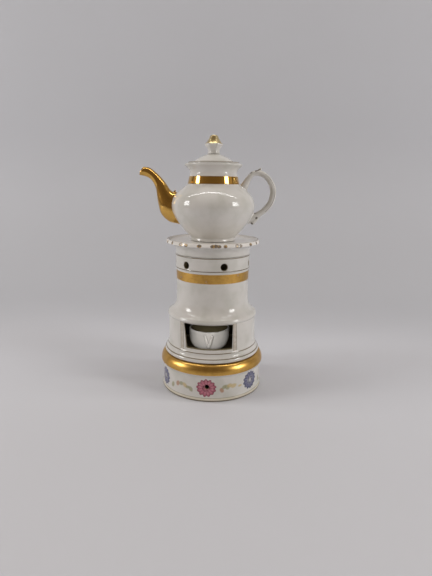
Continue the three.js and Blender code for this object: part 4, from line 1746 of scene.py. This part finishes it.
def paper_finish():
    paint, tints = Paint("pale paper"), colours()
    spot = paint.place()
    cloud = paint.noise(spot, 0.004, 3)
    _, y, z = paint.parts(spot)
    # Painted shade: darker from the flat floor into the bend
    tone = paint.mix(paint.fade(y, 100, 270), tints.floor, tints.bend)
    tone = paint.mix(paint.fade(z, 60, 190), tone, tints.backdrop)
    tone = paint.mix(cloud * 0.08, tone, tints.mottle)
    return paint.surface(Base_Color=tone, Roughness=0.7 + cloud * 0.1)


def lay_sweep():
    sweep = bpy.data.objects.new("paper_sweep", sweep_mesh())
    sweep.data.materials.append(paper_finish())
    bpy.context.scene.collection.objects.link(sweep)


def add_lamp(name, place, aim, size, power):
    """A rectangular lamp of a width and height in metres, which faces a point."""
    lamp = bpy.data.lights.new(name, "AREA")
    lamp.shape = "RECTANGLE"
    lamp.size, lamp.size_y = size
    lamp.energy = power
    holder = bpy.data.objects.new(name, lamp)
    holder.location = place
    holder.rotation_euler = (Vector(aim) - Vector(place)).to_track_quat("-Z", "Y").to_euler()
    bpy.context.scene.collection.objects.link(holder)
    return holder


def set_world():
    """Soft room light, dimmer from the side that the camera stands on and from overhead."""
    paint, tints = Paint("soft room", world=True), colours()
    _, y, z = paint.parts(paint.node("ShaderNodeTexCoord", output="Generated"))
    strength = paint.fade(y, -0.9, 0.1, 0.18, 0.48) * paint.fade(z, 0.15, 0.8, 1.0, 0.66)
    tone = paint.mix(strength, tints.dim_light, tints.bright_light)
    glow = paint.node("ShaderNodeBackground", None, {"Color": tone, "Strength": strength})
    paint.node("ShaderNodeOutputWorld", None, {"Surface": glow})
    bpy.context.scene.world = paint.owner


# The photograph's camera, fitted to the rims of the object: metres, degrees and pixels, and
# millimetres for the sensor
CAMERA_PLACE = (0.0360, -0.4110, 0.1947)
CAMERA_HEADING = 4.52
CAMERA_PITCH = 13.35
CAMERA_ROLL = 0.70
PHOTO_HEIGHT = 576
FOCAL_PIXELS = 430.5
SENSOR_WIDTH = 36


def add_camera():
    lens = bpy.data.cameras.new("camera")
    lens.sensor_width = SENSOR_WIDTH
    lens.sensor_fit = "AUTO"
    lens.lens = FOCAL_PIXELS / PHOTO_HEIGHT * SENSOR_WIDTH
    lens.clip_start = 0.01
    holder = bpy.data.objects.new("camera", lens)
    turned = (
        Matrix.Rotation(math.radians(CAMERA_HEADING), 4, "Z")
        @ Matrix.Rotation(math.radians(90 - CAMERA_PITCH), 4, "X")
        @ Matrix.Rotation(math.radians(CAMERA_ROLL), 4, "Z")
    )
    holder.matrix_world = Matrix.Translation(CAMERA_PLACE) @ turned
    bpy.context.scene.collection.objects.link(holder)
    bpy.context.scene.camera = holder


CUP_LAMP_PLACE = (0.0, -0.60, 0.30)
CUP_LAMP_AIM = (-0.003, -0.02, 0.047)
CUP_LAMP_SIZE = (0.2, 0.15)
CUP_LAMP_POWER = 2.0


def light_oil_cup(pieces):
    """A small lamp in front that brightens the oil cup alone, in its dark chamber."""
    holder = add_lamp("cup_lamp", CUP_LAMP_PLACE, CUP_LAMP_AIM, CUP_LAMP_SIZE, CUP_LAMP_POWER)
    holder.visible_glossy = False
    lit = bpy.data.collections.new("lit_by_cup_lamp")
    for piece in pieces:
        lit.objects.link(piece)
    holder.light_linking.receiver_collection = lit


LAMP_AIM = (0, 0, 0.14)
SOFTBOX_DISTANCE = 1.15
SOFTBOX_HEIGHT = 0.50
SOFTBOX_ANGLES = (("left_softbox", -73), ("right_softbox", 68))
SOFTBOX_SIZE = (0.34, 0.44)
SOFTBOX_POWER = 5.0
STRIP_PLACE = (0.0, 0.02, 1.3)
STRIP_SIZE = (2.4, 0.055)
STRIP_POWER = 6.5


def make_stage():
    bpy.context.scene.view_settings.view_transform = "Standard"
    lay_sweep()
    set_world()
    for name, turn in SOFTBOX_ANGLES:
        place = at_angle(SOFTBOX_DISTANCE, SOFTBOX_HEIGHT, math.radians(turn))
        add_lamp(name, place, LAMP_AIM, SOFTBOX_SIZE, SOFTBOX_POWER)
    add_lamp("overhead_strip", STRIP_PLACE, LAMP_AIM, STRIP_SIZE, STRIP_POWER)
    add_camera()


# Operators


class TEAPOT_OT_stage(bpy.types.Operator):
    """Adds the paper sweep, the lamps and the camera"""

    bl_idname = "teapot.stage"
    bl_label = "Stage, lamps and camera"

    def execute(self, context):
        make_stage()
        return {"FINISHED"}


class TEAPOT_OT_plinth(bpy.types.Operator):
    """Adds the painted plinth"""

    bl_idname = "teapot.plinth"
    bl_label = "Plinth"

    def execute(self, context):
        slot = "painted_porcelain"
        show("plinth_painted", plinth_mesh(), "base", slot, plinth_finish(), "base_plinth")
        return {"FINISHED"}


class TEAPOT_OT_stand(bpy.types.Operator):
    """Adds the stand and its dish"""

    bl_idname = "teapot.stand"
    bl_label = "Lamp stand and dish"

    def execute(self, context):
        slot = "gilt_lined_porcelain"
        show("stand_glazed", stand_mesh(), "stand", slot, stand_finish(), "stand_body")
        show("dish_glazed", dish_mesh(), "stand", slot, dish_finish(), "stand_dish")
        return {"FINISHED"}


class TEAPOT_OT_oil_cup(bpy.types.Operator):
    """Adds the oil cup, its pull and the floating wick"""

    bl_idname = "teapot.oil_cup"
    bl_label = "Oil cup and floating wick"

    def execute(self, context):
        white = cup_finish()
        slot = "white_porcelain"
        cup_data = to_foot_centre(cup_mesh(), "godet_cup", CUP_TURN)
        pull_data = to_foot_centre(pull_mesh(), "godet_cup", CUP_TURN)
        cup = show("oil_cup", cup_data, "godet", slot, white, "godet_cup")
        pull = show("oil_cup_pull", pull_data, "godet", slot, white, "godet_handle")
        light_oil_cup((cup, pull))
        cork, plate = disc_mesh("wick_float", 0.8, 1.2), disc_mesh("wick_plate", 0.2, 1.2)
        show("cork_float", cork, "wick_float", "cork", cork_finish(), "wick_float")
        show("tin_plate", plate, "wick_float", "tinplate", tin_finish(), "wick_plate")
        show("twisted_wick", wick_mesh(), "wick_float", "cotton_wick", cotton_finish(), "wick")
        return {"FINISHED"}


class TEAPOT_OT_pot(bpy.types.Operator):
    """Adds the pot with its spout and handle"""

    bl_idname = "teapot.pot"
    bl_label = "Pot, spout and handle"

    def execute(self, context):
        lined = "gilt_lined_porcelain"
        pot = show("pot_glazed", pot_mesh(), "pot", lined, pot_finish(), "pot_body")
        cut(pot, strainer_rods())
        show("spout_gilt", spout_mesh(), "pot", "gilt_porcelain", spout_finish(), "spout")
        show("handle_glazed", handle_mesh(), "pot", lined, handle_finish(), "handle")
        return {"FINISHED"}


class TEAPOT_OT_lid(bpy.types.Operator):
    """Adds the lid and its knob"""

    bl_idname = "teapot.lid"
    bl_label = "Lid and knob"

    def execute(self, context):
        lid = show("lid_glazed", lid_mesh(), "lid", "gilt_lined_porcelain", lid_finish(), "lid")
        cut(lid, [steam_rod()])
        show("knob_gilt", knob_mesh(), "lid", "gilt_porcelain", knob_finish(), "lid_knob")
        return {"FINISHED"}


STEPS = (
    TEAPOT_OT_stage,
    TEAPOT_OT_plinth,
    TEAPOT_OT_stand,
    TEAPOT_OT_oil_cup,
    TEAPOT_OT_pot,
    TEAPOT_OT_lid,
)


class TEAPOT_PT_panel(bpy.types.Panel):
    """Lists the teapot's sizes, colours and pieces"""

    bl_idname = "TEAPOT_PT_panel"
    bl_label = "Teapot on a lamp stand"
    bl_space_type = "VIEW_3D"
    bl_region_type = "UI"
    bl_category = "Teapot"

    def draw(self, context):
        for group in (context.scene.teapot_sizes, context.scene.teapot_colours):
            box = self.layout.box()
            for key in type(group).__annotations__:
                box.prop(group, key)
        for step in STEPS:
            self.layout.operator(step.bl_idname)


CLASSES = (TeapotSizes, TeapotColours, *STEPS, TEAPOT_PT_panel)


def register():
    for item in CLASSES:
        bpy.utils.register_class(item)
    bpy.types.Scene.teapot_sizes = PointerProperty(type=TeapotSizes)
    bpy.types.Scene.teapot_colours = PointerProperty(type=TeapotColours)


def unregister():
    del bpy.types.Scene.teapot_colours
    del bpy.types.Scene.teapot_sizes
    for item in reversed(CLASSES):
        bpy.utils.unregister_class(item)


def main():
    register()
    for step in STEPS:
        family, name = step.bl_idname.split(".")
        getattr(getattr(bpy.ops, family), name)()


if __name__ == "__main__":
    main()
